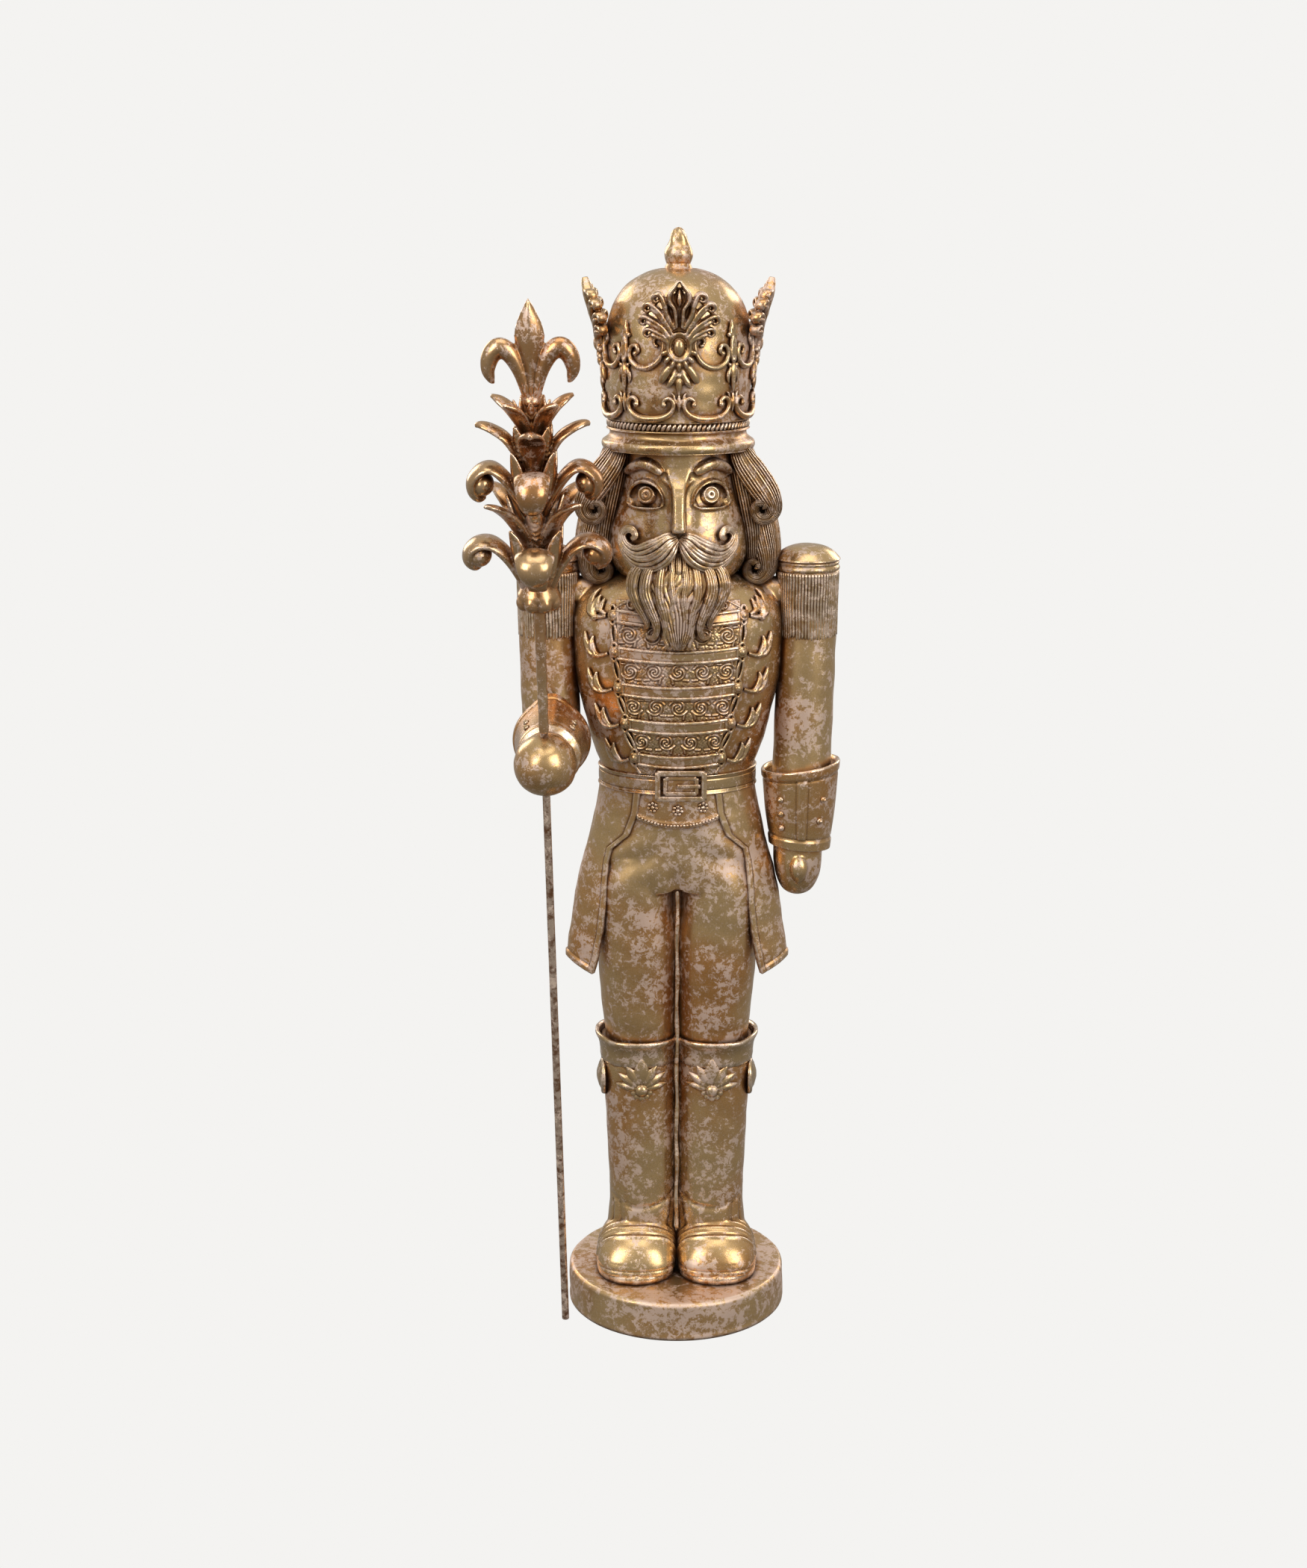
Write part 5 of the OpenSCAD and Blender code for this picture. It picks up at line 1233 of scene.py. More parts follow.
def makeHair():
    half = Clay()
    hairLock(half, [(31.0, 486.4, 5.6), (34.2, 480.5, 7.2), (40.0, 472.5, 8.0), (46.2, 463.5, 7.4),
                    (49.4, 456.5, 5.2), (47.2, 451.6, 3.8), (42.6, 451.2, 3.1), (40.0, 454.8, 2.6),
                    (41.6, 459.0, 2.2), (45.0, 458.6, 1.9), (45.4, 456.0, 1.4)], 7.0, -12, -19, 8)
    hairLock(half, [(35.5, 470, 6.0), (39.0, 456, 7.2), (42.6, 442, 7.4), (45.6, 430, 6.4), (45.8, 422.0, 4.6),
                    (42.2, 418.0, 3.5), (37.6, 419.4, 2.9), (36.4, 423.6, 2.4), (39.0, 427.0, 2.1),
                    (42.0, 425.6, 1.7), (41.6, 423.2, 1.3)], 7.4, -2, -12, 8)
    hairLock(half, [(28.8, 486.4, 4.0), (30.5, 480, 4.8), (33.6, 468, 5.4), (36.6, 456, 5.6), (38.8, 444, 5.0),
                    (39.6, 434, 4.2), (39.0, 426, 3.0)], 6.5, -11, -6, 5)
    # sides behind the locks
    for k, y in enumerate((-1, 7, 15, 22)):
        x = math.sqrt(max(0, 1 - (y / 42) ** 2))
        hairLock(half, [(32 * x, 486.2, 5.0), (36 * x, 476, 5.6), (42 * x, 460, 6.0), (46.5 * x, 444, 6.0),
                        (48.5 * x, 430, 5.2), (47 * x, 420 - k, 3.8), (42 * x, 416 - k, 2.6),
                        (38 * x, 418 - k, 1.6)], 7.0, y, y + 1.5, 9, 1.5 + k)
    for side in ("left", "right"):
        pick = half if side == "left" else Clay().mirror(half)
        settle(pick.object("hair_" + side), hairGold, stands=["hair_" + side])
    # back of the head: wavy strands laid side by side
    c = Clay()
    a = np.arange(96) / 96 * tau
    c.rings([np.stack([w * np.sin(a), 6 - d * np.cos(a), np.full(96, z)], -1) for z, w,
             d in ((489, 28, 26.5), (478, 31, 27.5), (462, 35.5, 29.5), (446, 39, 31), (432, 39.5, 31.5),
                   (424, 36.5, 30.5), (420, 31, 28))])
    for k in range(backHair["strands"]):
        turn = -backHair["spread"] + 2 * backHair["spread"] * k / (backHair["strands"] - 1)
        sway = backHair["sway"] if k % 2 else -backHair["sway"]
        rows = []
        for z, r, w in ((489.5, 0.80, 2.9), (478, 0.86, 3.3), (464, 0.95, 3.7), (450, 1.03, 4.0),
                        (437, 1.07, 4.1), (427, 1.05, 3.7), (420.5 - (k % 3), 0.97, 2.6),
                        (418.5 - (k % 3), 0.90, 1.2)):
            b = turn + sway * math.sin((z - 420) / 8.0)
            rows.append((38.5 * r * math.sin(b), 6.0 + 33.5 * r * math.cos(b), z, w))
        p = curve(rows, 70)
        up = unit(np.column_stack([np.sin(turn) + 0 * p[:, 0], np.cos(turn) + 0 * p[:, 0], 0 * p[:, 0]]))
        c.sweep(p[:, :3], up, p[:, 3], p[:, 3] * 0.8, 30, grooves=5, depth=0.18)
    settle(cast(c, "hair_back", 0.6, 1), hairGold, stands=["hair_back"])


makeTorso()
makePlate()
makeFrogging()
makeCollar()
print("torso ready")
makeHead()
makeMoustache()
makeBeard()
makeHair()
print("head ready")


# hat
hat = {"beads": 88, "ropeRadius": 36.8, "flutes": 4, "dent": 0.22}
ropeBase, ropeTop = capBand + 4.6, capBand + 10.4  # the twisted band sits just above the plain one
hatProfile = [(0.02, brim - 0.6), (27, brim - 0.4), (38.4, brim - 0.4), (39.8, brim + 0.5), (40.5, brim + 2.2),
              (40.1, brim + 4.2), (38.6, brim + 5.4), (37.0, capBand + 0.6), (36.3, capBand + 1.6),
              (36.1, capBand + 3.0), (36.4, ropeBase - 0.8),
              (37.3, ropeBase - 0.2), (37.5, ropeBase + 0.4), (37.2, ropeBase + 0.9), (36.2, ropeBase + 1.1),
              (36.1, (ropeBase + ropeTop) / 2), (36.3, ropeTop - 1.1), (37.3, ropeTop - 0.9),
              (37.6, ropeTop - 0.3), (37.3, ropeTop + 0.4), (37.3, 506), (37.8, 511),
              (38.3, 518), (38.3, 526), (38.1, 536), (37.8, 545), (36.8, 552.5), (34.9, 559.3), (31.9, 565),
              (28.2, 569.6), (23.0, 573.8), (16.8, 577.0), (11.0, 578.8), (7.6, domeTop + 0.2)]
finialProfile = [(0.02, domeTop - 1), (7.0, domeTop - 0.8), (7.0, domeTop + 0.6), (6.5, domeTop + 1.8),
                 (6.3, domeTop + 2.6), (6.8, domeTop + 3.8), (7.4, domeTop + 6.2), (7.3, domeTop + 8.6),
                 (6.6, domeTop + 10.8), (5.9, domeTop + 12.6), (5.4, domeTop + 13.8), (5.2, domeTop + 14.8),
                 (4.7, domeTop + 16.4), (3.7, domeTop + 18.4), (2.6, domeTop + 19.8), (1.4, tipTop - 0.4),
                 (0.02, tipTop)]


def makeHat():
    low = curve(hatProfile[:12], 80)
    c = Clay().lathe(np.vstack([low, [(30, low[-1, 1] + 0.2), (0.02, low[-1, 1] + 0.2)]]), sides=200)
    settle(carve(c.object("hatBrim"), lambda co, nor: 0.16 * ripple(co, 6, 3.0)), agedGold, stands=["hat_brim"])
    high = curve([(30, capBand + 4.0)] + hatProfile[11:] + [(0.02, domeTop + 0.1)], 190)
    c = Clay().lathe(np.vstack([[(0.02, capBand + 4.0)], high]), sides=220)
    settle(carve(c.object("hatDome"), lambda co, nor: hat["dent"] * ripple(co, 9, 3.0)
                 + 0.1 * ripple(co, 3.5, 1.0)), agedGold, stands=["hat_crown"])
    c = Clay().lathe(curve(finialProfile, 90), sides=72)

    def flame(co, nor):
        a = np.arctan2(co[:, 1], co[:, 0])
        high = ease(domeTop + 8, domeTop + 13, co[:, 2])
        return -0.5 * high * (0.5 + 0.5 * np.cos(a * hat["flutes"]
                + (co[:, 2] - domeTop) * 0.42)) + 0.12 * ripple(co, 3, 2)
    settle(carve(c.object("hatFinial"), flame), agedGold, stands=["hat_finial"])
    bead = Clay()
    t = np.linspace(-1, 1, 9)
    path = np.column_stack([1.15 * t, 0 * t, 1.95 * t])
    bead.sweep(path, (0, -1, 0), 0.98 * np.sqrt(1.02 - t * t) + 0.1, 1.0 * np.sqrt(1.02 - t * t) + 0.08, 10)
    radius = hat["ropeRadius"] * mm
    rope = ringOfCopies("hatRope", bead.object("hatRopeSource"), trimGold, count=hat["beads"], wide=radius,
                        deep=radius, height=(ropeBase + ropeTop) / 2 * mm, sizeJitter=0.03, turnJitter=0.05)
    settle(rope, trimGold, stands=["hat_rope_band"])


# crown ornaments: drawn as (s, z) along the hat, s runs round it
crown = {"voxel": 0.42, "radius": 40, "middle": 540}
lean = np.array([(500, 38.3), (517, 38.9), (530, 39.3), (541, 40.2), (550, 41.6), (558, 43.4), (566, 45.4),
                 (576, 47.6)])


def onCrown(rows, lift=0.0, upright=False):
    p = np.asarray(rows, float)
    r = (np.interp(p[:, 1], lean[:, 0], lean[:, 1])
         if upright else np.interp(p[:, 1], [500, 509, 520, 540, 552], [37.9, 37.9, 38.5, 38.3, 37.2])) + lift
    a = p[:, 0] / 38.6
    return np.column_stack([r * np.sin(a), -r * np.cos(a), p[:, 1]]), np.column_stack([np.sin(a), -np.cos(a),
            0 * a])


def ornament(c, rows, lift=0.4, upright=False, sides=14, count=44,
             **kw):  # rows of s, z, half width, half thickness
    p = curve(rows, count)
    deeper = 1.6 if upright else 1.0  # the palmettes stand free, so they are thicker
    path, out = onCrown(p[:, :2], lift, upright)
    c.sweep(path, out, p[:, 2], p[:, 3] * deeper, sides, **kw)


def knob(c, s, z, r, lift=0.5, upright=False):
    place = onCrown([(s, z)], lift, upright)[0]
    c.ball(place[0], (r, r * 0.8 + 0.2, r), 16)


def bothSides(rows):
    return [rows, [(-r[0],) + tuple(r[1:]) for r in rows]]


def makePalmettePlate():
    c = Clay()
    # thin backing that ties the plumes together
    backing = [(0, 520, 1.2, 1.0), (0, 530, 6.0, 1.1), (0, 541, 8.0, 1.3), (0, 550, 9.5, 1.2),
               (0, 558, 8.0, 1.1), (0, 566, 3.6, 1.0), (0, 571, 0.8, 0.8)]
    ornament(c, backing, -0.6, True, 20, 50)
    # oval gem in its ring
    t = np.linspace(0, tau, 60)
    path, out = onCrown(np.column_stack([5.2 * np.sin(t), 541.2 + 6.9 * np.cos(t)]), 1.7, True)
    c.sweep(path, out, 1.0, 1.5, 12)
    path, out = onCrown(np.column_stack([3.9 * np.sin(t), 541.2 + 5.5 * np.cos(t)]), 1.5, True)
    c.sweep(path, out, 0.5, 0.9, 8)
    mid, out = onCrown([(0, 541.2)], 1.3, True)
    c.ball(mid[0], (3.1, 3.0, 4.7), 28)
    # pointed lozenge at the top with a drop inside
    for rows in bothSides([(0.1, 574.6, 0.6, 1.1), (1.8, 571.4, 1.1, 1.6), (4.0, 567.4, 1.35, 1.9),
                           (3.8, 563.8, 1.35, 1.9), (2.0, 560.2, 1.2, 1.7), (1.5, 555.6, 1.1, 1.6),
                           (1.2, 551.0, 0.9, 1.2)]):
        ornament(c, rows, 1.5, True)
    ornament(c, [(0, 570.2, 0.3, 0.5), (0, 567.4, 1.1, 1.3), (0, 565.0, 1.5, 1.6), (0, 562.8, 1.1, 1.2),
                 (0, 561.2, 0.4, 0.5)], 0.9, True)
    # plumes that rise like a fountain and roll over at the tip
    for k, (reach, high) in enumerate(((9.2, 566.6), (13.4, 561.8), (15.8, 555.4), (14.2, 549.2))):
        size = (1.45, 1.5, 1.45, 1.25)[k]
        start = 551.6 - 2.6 * k
        for off in (0.0, 1.0):
            low = off * 2.1
            rows = [(2.6 + 0.9 * k - off * 0.4, start - low * 0.6, 0.9, 1.3),
                    (2.8 + reach * 0.26, start + (high - start) * 0.42 - low * 0.7, size * 0.9, 1.7),
                    (reach * 0.60 + 0.6, start + (high - start) * 0.78 - low, size, 2.0),
                    (reach - 1.2 - off * 1.0, high + 0.9 - low * 1.3, size, 2.1)]
            if off == 0.0:
                rows += [(reach + 1.0, high + 0.6, size, 2.0), (reach + 1.9, high - 1.4, size * 0.85, 1.7),
                         (reach + 0.6, high - 2.8, size * 0.7, 1.4), (reach - 0.8, high - 2.0, size * 0.5, 1.1)]
            else:
                rows += [(reach - 0.9, high - 1.9, 0.6, 1.0)]
            for r in bothSides(rows):
                ornament(c, r, 1.2, True)
                if off == 0.0:
                    knob(c, r[-1][0], r[-1][1], 1.1, 1.8, True)
    # shell frill under the gem, two fluted drooping leaves, spear
    for k in range(-3, 4):
        a = k * 0.42
        ornament(c, [(4.6 * math.sin(a), 541.2 - 6.6 * math.cos(a), 0.9, 1.0),
                     (7.4 * math.sin(a), 541.2 - 9.4 * math.cos(a), 1.6, 1.4),
                     (8.9 * math.sin(a), 541.2 - 11.6 * math.cos(a), 1.0, 1.0),
                     (9.2 * math.sin(a), 541.2 - 12.4 * math.cos(a), 0.3, 0.4)], 0.9, True, 12, 20)
    for rows in bothSides([(2.4, 532.4, 1.0, 1.2), (4.6, 530.6, 1.9, 1.7), (6.8, 527.8, 2.3, 1.8),
                           (8.4, 524.8, 2.0, 1.5), (9.6, 522.8, 0.9, 0.9)]):
        ornament(c, rows, 0.9, False, 30, 40, grooves=5, depth=0.35)
    for rows in bothSides([(1.2, 530.0, 0.9, 1.1), (2.4, 526.6, 1.5, 1.4), (4.4, 523.0, 1.6, 1.4),
                           (6.0, 520.6, 0.6, 0.8)]):
        ornament(c, rows, 0.8, False, 20, 30, grooves=3, depth=0.3)
    ornament(c, [(0, 529, 0.8, 1.0), (0, 525.8, 0.9, 1.2), (0, 523.6, 1.9, 1.6), (0, 521.0, 1.7, 1.5),
                 (0, 518.0, 0.9, 1.0), (0, 515.6, 0.25, 0.4)], 1.0, False, 12, 30, power=1.6)
    knob(c, 0, 526.6, 1.5, 1.2)
    return c


def makeUpperScrolls():  # the scrolls between two palmettes, with their hanging pendant at the middle
    c = Clay()
    quarter = 38.6 * math.pi / 2
    rows = [(11.6, 541.6, 0.8, 1.0), (13.0, 543.6, 1.0, 1.2), (11.6, 545.8, 1.1, 1.3), (8.8, 545.2, 1.2, 1.4),
            (7.9, 541.8, 1.3, 1.5), (8.8, 537.2, 1.4, 1.6), (12.0, 532.8, 1.5, 1.7), (17.0, 530.4, 1.6, 1.8),
            (22.0, 530.8, 1.5, 1.7),
                  (25.6, 533.6, 1.4, 1.6), (26.8, 537.6, 1.3, 1.5), (25.4, 541.2, 1.2, 1.4),
            (22.6, 541.2, 1.1, 1.3), (21.8, 538.6, 1.0, 1.2), (23.4, 537.4, 0.8, 1.0)]
    for flip in (1, -1):
        turned = [((r[0] if flip == 1 else quarter - r[0]),) + tuple(r[1:]) for r in rows]
        ornament(c, turned, 0.9, False, 14, 110)
        knob(c, turned[-1][0], turned[-1][1], 1.3, 1.2)
        knob(c, turned[0][0], turned[0][1], 1.3, 1.2)
    mid = quarter / 2
    for rows in bothSides([(0.9, 551.6, 0.4, 0.6), (1.3, 548.6, 0.9, 1.2), (0.8, 545.6, 0.8, 1.1),
                           (1.2, 541.6, 0.9, 1.2), (1.3, 537.0, 1.0, 1.2), (0.7, 533.6, 0.9, 1.1)]):
        ornament(c, [(mid + r[0],) + tuple(r[1:]) for r in rows], 1.0)
    ornament(c, [(mid, 554.2, 0.3, 0.5), (mid, 551.0, 1.5, 1.3), (mid, 548.0, 1.1, 1.2), (mid, 544.6, 1.6, 1.4),
                 (mid, 541.0, 0.8, 1.0), (mid, 536.0, 0.9, 1.1), (mid, 531.6, 1.0, 1.2), (mid, 528.6, 2.0, 1.6),
                 (mid, 524.4, 1.6, 1.4), (mid, 520.4, 0.9, 1.0), (mid, 517.4, 0.3, 0.4)], 1.0, False, 14, 70)
    for s, z, r in ((mid, 534.2, 1.7), (mid - 2.5, 531.6, 1.1), (mid + 2.5, 531.6, 1.1),
                    (mid - 2.4, 546.6, 1.2), (mid + 2.4, 546.6, 1.2), (mid, 523.0, 1.2)):
        knob(c, s, z, r, 1.1)
    for rows in bothSides([(0.8, 531.0, 0.7, 0.9), (2.8, 528.0, 1.2, 1.2), (3.4, 524.6, 0.9, 1.0),
                           (2.8, 522.2, 0.3, 0.5)]):
        ornament(c, [(mid + r[0],) + tuple(r[1:]) for r in rows], 0.8, False, 12, 24)
    return c


def makeLowerScroll():  # one of eight swags above the rope band
    c = Clay()
    rows = [(7.6, 511.4, 0.8, 1.0), (7.8, 513.6, 1.0, 1.2), (5.4, 515.2, 1.15, 1.4), (3.0, 513.4, 1.25, 1.5),
            (2.9, 510.2, 1.35, 1.6), (5.2, 507.0, 1.5, 1.7), (9.6, 505.0, 1.7, 1.8), (15.1, 504.5, 1.8, 1.9)]
    rows = rows + [(30.3 - r[0],) + tuple(r[1:]) for r in rows[-2::-1]]
    ornament(c, rows, 1.0, False, 14, 130)
    for s in (7.6, 30.3 - 7.6):
        knob(c, s, 511.8, 1.55, 1.4)
    ornament(c, [(0, 517.6, 0.4, 0.6), (0, 515.0, 1.0, 1.2), (0, 512.4, 1.5, 1.4), (0, 509.6, 0.8, 1.0),
                 (0, 507.6, 0.3, 0.5)], 0.9, False, 12, 26)
    for rows in bothSides([(0.8, 511.6, 0.5, 0.8), (2.2, 513.6, 0.8, 1.0), (2.6, 516.4, 0.7, 0.9),
                           (3.8, 518.0, 0.4, 0.6)]):
        ornament(c, rows, 0.8, False, 10, 20)
    return c


def crownRing(name, source, count, start, stands):  # drawn at the front, set round the hat
    piece = shift(cast(source, name + "Source", crown["voxel"], 1), (0, crown["radius"], -crown["middle"]))
    radius = crown["radius"] * mm
    ring = ringOfCopies(name, piece, trimGold, count=count, wide=radius, deep=radius,
                        height=crown["middle"] * mm, start=start)
    settle(ring, trimGold, stands=stands)


def makeCrown():
    plate = makePalmettePlate()
    crownRing("crownPalmettesFrontBack", plate, 2, 0.0, ["crown_palmettes_front_back"])
    crownRing("crownPalmettesSides", plate, 2, math.pi / 2, ["crown_palmettes_sides"])
    crownRing("crownScrollsUpper", makeUpperScrolls(), 4, 0.0, ["crown_pendants"])
    crownRing("crownScrollsLower", makeLowerScroll(), 8, 0.0, ["crown_scrolls"])


# arms
arm = {"x": 70.7, "topZ": 428.0, "swing": 0.0247, "sleeve": 15.8}


def armX(z):
    return arm["x"] - arm["swing"] * (arm["topZ"] - z)


epaulette = {"inward": 1.2, "smaller": 1.5, "ribs": 60}


def makeEpaulettes():
    for side, name in ((1, "left"), (-1, "right")):
        low, high = box("epaulette_cap_" + name)
        mid = (low + high) / 2
        mid[0] -= side * epaulette["inward"]
        r = (high[0] - low[0]) / 2 - epaulette["smaller"]
        capTop = high[2]
        profile = [(0.02, capTop), (5, capTop - 0.25), (9.5, capTop - 1.3), (13.5, capTop - 3.4),
                   (16.2, capTop - 5.9), (17.6, capTop - 7.8), (r - 0.9, capTop - 8.6), (r - 0.5, capTop - 9.5),
                   (r - 0.8, capTop - 10.4), (r - 0.9, capTop - 10.8), (r - 0.5, capTop - 11.4),
                   (r - 0.2, capTop - 12.4), (r - 0.5, capTop - 13.4), (r - 1.0, capTop - 13.9),
                   (r - 0.8, capTop - 14.6), (r - 2.0, capTop - 15.2), (0.02, capTop - 15.2)]
        cap = Clay().lathe(curve(profile, 100), (mid[0], mid[1], 0), 120).object("epauletteCap_" + name)
        settle(carve(cap, lambda co, nor: 0.15 * ripple(co, 5, 3.0)), agedGold,
               stands=["epaulette_cap_" + name])
        lowF, highF = box("epaulette_fringe_" + name)
        long = highF[2] - lowF[2]
        t = np.linspace(0, 1, 26)
        rib = Clay()
        path = np.column_stack([0.12 * np.sin(t * 9), 0.9 * t, -long * t])
        rib.sweep(path, (0, -1, 0), 0.86 * np.minimum(1, (1.03 - t) * 12) ** 0.5 + 0.05 * np.sin(t * 21), 0.95,
                  10)
        fringe = ringOfCopies("epauletteFringe_" + name, rib.object("ribSource"), trimGold,
                              count=epaulette["ribs"], wide=(r - 1.2) * mm, deep=(r - 1.2) * mm, height=0.0,
                              sizeJitter=0.022, turnJitter=0.012, seed=5 if side > 0 else 9)
        shift(fringe, (mid[0], mid[1], highF[2] - 0.4))
        core = Clay().lathe([(0.02, highF[2]), (r - 1.9, highF[2]), (r - 2.9, lowF[2] + 2.2),
                             (0.02, lowF[2] + 2.2)], (mid[0], mid[1], 0), 72).object("core")
        core.data.materials.append(trimGold)
        settle(join("epauletteFringe_" + name, [fringe, core]), trimGold, stands=["epaulette_fringe_" + name])


def sleeveRows(low, high, r):
    a = np.arange(110) / 110 * tau
    return [np.stack([armX(z) + r(z) * np.sin(a), -r(z) * np.cos(a), np.full(110, z)], -1)
            for z in np.linspace(low, high, 80)]


def sleeveRelief(co, nor):
    return 0.16 * ripple(co, 9, 2.0) + 0.14 * ripple(co * [1, 1, 0.6], 4.5, 5.0)


def makeCuffLeft():
    low, high = box("cuff_left")
    bottom, rim = low[2] - 2.4, high[2] - 1.4
    a = np.arange(150) / 150 * tau
    rows = []
    outline = curve([(0.0, 16.4), (0.12, 17.0), (0.3, 18.2), (0.5, 19.3), (0.75, 20.2), (1.0, 21.0)], 90)
    for t, r in outline:
        z = bottom + (rim - bottom) * t + 5.6 * t**1.6 * (0.5 + 0.5 * np.sin(a)) - 1.4 * (1 - t) * np.sin(a)
        band = 0.55 * (ease(0.90, 0.93, t) + ease(0.13, 0.10, t)) - 0.3 * (math.exp(-((t - 0.885) / 0.012) ** 2)
                + math.exp(-((t - 0.15) / 0.012) ** 2))
        strap = 0.65 * np.exp(-(((np.abs(a - math.pi) - math.pi) * 19.5 / 2.6) ** 6)) * (0.14 < t < 0.89)
        groove = -0.35 * np.exp(-(((np.abs(np.abs(a - math.pi) - math.pi) * 19.5 - 3.1)
                                   / 0.5) ** 2)) * (0.14 < t < 0.89)
        rr = r + band + strap + groove
        rows.append(np.stack([armX(290) + rr * np.sin(a), -rr * np.cos(a), z], -1))
    last = rows[-1]
    mid = last.mean(0) * [1, 1, 0]
    for dz, shrink in ((0.7, 0.985), (0.9, 0.95), (0.5, 0.92), (-1.5, 0.89), (-8, 0.80)):
        rows.append((last - mid) * [shrink, shrink, 1] + mid + [0, 0, dz])
    return Clay().rings(rows)


def makeArms():
    c = Clay().rings(sleeveRows(foot("sleeve_left"), 422.0, lambda z: arm["sleeve"]
                                - 0.4 * float(ease(300, 276, z))))
    settle(carve(c.object("sleeve_left"), sleeveRelief), clothGold, stands=["sleeve_left"])
    elbow = (foot("sleeve_right") + 16.1)
    right = Clay().rings(sleeveRows(elbow - 2, 422.0, lambda z: arm["sleeve"]))
    right.ball((armX(elbow), 0, elbow), (16.2, 16.4, 16.2), 60)
    right = Clay().mirror(right)
    settle(carve(cast(right, "sleeve_right", 0.75, 3), sleeveRelief), clothGold, stands=["sleeve_right"])
    # forearm that reaches forward
    low, high = box("forearm_right")
    fx, fz = (low[0] + high[0]) / 2, (low[2] + high[2]) / 2 + 0.3
    t = np.linspace(0, 1, 40)
    path = np.column_stack([np.full(40, fx), -3 + (low[1] - 2 + 3) * t, np.full(40, fz)])
    c = Clay().sweep(path, (0, 0, 1), 15.2 - 1.2 * t, 15.2 - 1.2 * t, 90)
    settle(carve(c.object("forearm_right"), sleeveRelief), clothGold, stands=["forearm_right"])

    settle(makeCuffLeft().object("cuff_left"), agedGold, stands=["cuff_left"])
    low, high = box("cuff_right")
    cx, cz = (low[0] + high[0]) / 2 + 1.2, (low[2] + high[2]) / 2 - 2.0
    a = np.arange(150) / 150 * tau           # 0 is the top of the cuff
    peak = np.exp(-((np.minimum(a, tau - a) / 0.42) ** 2))
    rows = []
    for t, r in curve([(0.0, 15.6), (0.06, 16.4), (0.3, 17.4), (0.6, 18.7), (0.85, 19.8), (1.0, 20.4)], 80):
        y = low[1] + 1.0 + (high[1] - 1.0 - low[1]) * t + 3.0 * t * peak
        band = 0.6 * (ease(0.88, 0.91, t) + ease(0.10, 0.07, t)) - 0.3 * (math.exp(-((t - 0.865) / 0.012) ** 2)
                + math.exp(-((t - 0.12) / 0.012) ** 2))
        rr = r + band + 3.8 * peak * t**1.5
        rows.append(np.stack([cx + rr * np.sin(a), y, cz + rr * np.cos(a)], -1))
    last, mid = rows[-1], np.array([cx, 0, cz])
    for dy, shrink in ((0.7, 0.985), (0.8, 0.95), (0.2, 0.92), (-3.0, 0.87), (-14.0, 0.80)):
        rows.append((last - mid) * [shrink, 1, shrink] + mid + [0, dy, 0])
    settle(Clay().rings(rows).object("cuff_right"), agedGold, stands=["cuff_right"])

    studs = Clay()
    stud = [(0.02, -1.2), (1.7, -1.1), (1.8, 0.1), (1.4, 0.6), (1.1, 0.65), (0.85, 1.2), (0.4, 1.6),
            (0.02, 1.65)]
    for turn, z in ((0.62, 298), (0.55, 286), (-0.62, 298), (-0.62, 290), (-0.62, 282), (2.3, 298), (2.3, 286),
                    (-2.3, 297), (-2.3, 286)):
        out = np.array([math.sin(turn), -math.cos(turn), 0])
        r = np.interp(z, [271, 289, 311], [17.0, 19.2, 20.8]) + 0.4
        basis = np.array([unit(np.cross(out, (0, 0, 1))), (0, 0, 1), out])
        studs.lathe(stud, np.array([armX(290), 0, z]) + out * r, 24, basis)
    for turn, y in ((0.75, -45), (-0.75, -45), (0.75, -54), (-0.75, -54), (2.6, -46), (-2.6, -46)):
        out = np.array([math.sin(turn), 0, math.cos(turn)])
        r = np.interp(y, [-64, -27], [16.4, 20.2]) + 0.3
        basis = np.array([unit(np.cross(out, (0, 1, 0))), (0, 1, 0), out])
        studs.lathe(stud, np.array([cx, y, cz]) + out * r, 24, basis)
    settle(studs.object("cuffStuds"), trimGold, stands=["cuff_studs"])

    # mitten hand with its thumb
    low, high = box("hand_left")
    mid = (low + high) / 2
    c = Clay()
    profile = [(0.02, low[2] - 0.2), (3.5, low[2] + 0.1), (7.6, low[2] + 2.4), (10.4, low[2] + 6.6),
               (12.3, low[2] + 12), (13.2, low[2] + 18), (13.4, low[2] + 24), (13.6, low[2] + 31),
               (13.6, low[2] + 35), (0.02, low[2] + 35)]
    c.lathe(curve(profile, 60), (mid[0], 0, 0), 90)
    t = np.linspace(0, 1, 30)
    path = np.column_stack([mid[0] + 0 * t, -11.6 - 2.0 * np.sin(t * math.pi), low[2] + 25 - 16 * t])
    c.sweep(path, (0, -1, 0), 4.4 * np.sin(np.clip(t * 0.9 + 0.08, 0, 1) * math.pi) ** 0.7 + 0.2,
            3.0 * np.sin(np.clip(t * 0.9 + 0.08, 0, 1) * math.pi) ** 0.7 + 0.2, 24)
    made = cast(c, "hand_left", 0.6, 4)
    settle(carve(made, lambda co, nor: 0.12 * ripple(co, 6, 2.0)), agedGold, stands=["hand_left"])
    c = Clay().ball((fist[0], fist[1] + 0.4, fist[2] + 0.2), (16.3, 17.6, 16.2), 90)
    low, high = box("fist_right")
    c.sweep(np.linspace((fist[0], fist[1], fist[2]), (fist[0], high[1] + 1, fist[2]), 10), (0, 0, 1), 14.4,
            14.4, 60)
    made = cast(c, "fist_right", 0.6, 3)
    settle(carve(made, lambda co, nor: 0.2 * ripple(co, 7, 4.0) + 0.1 * ripple(co, 3, 2.0)), agedGold,
           stands=["fist_right"])
    settle(frame["nodes"]["joining_pegs"], pegWood)


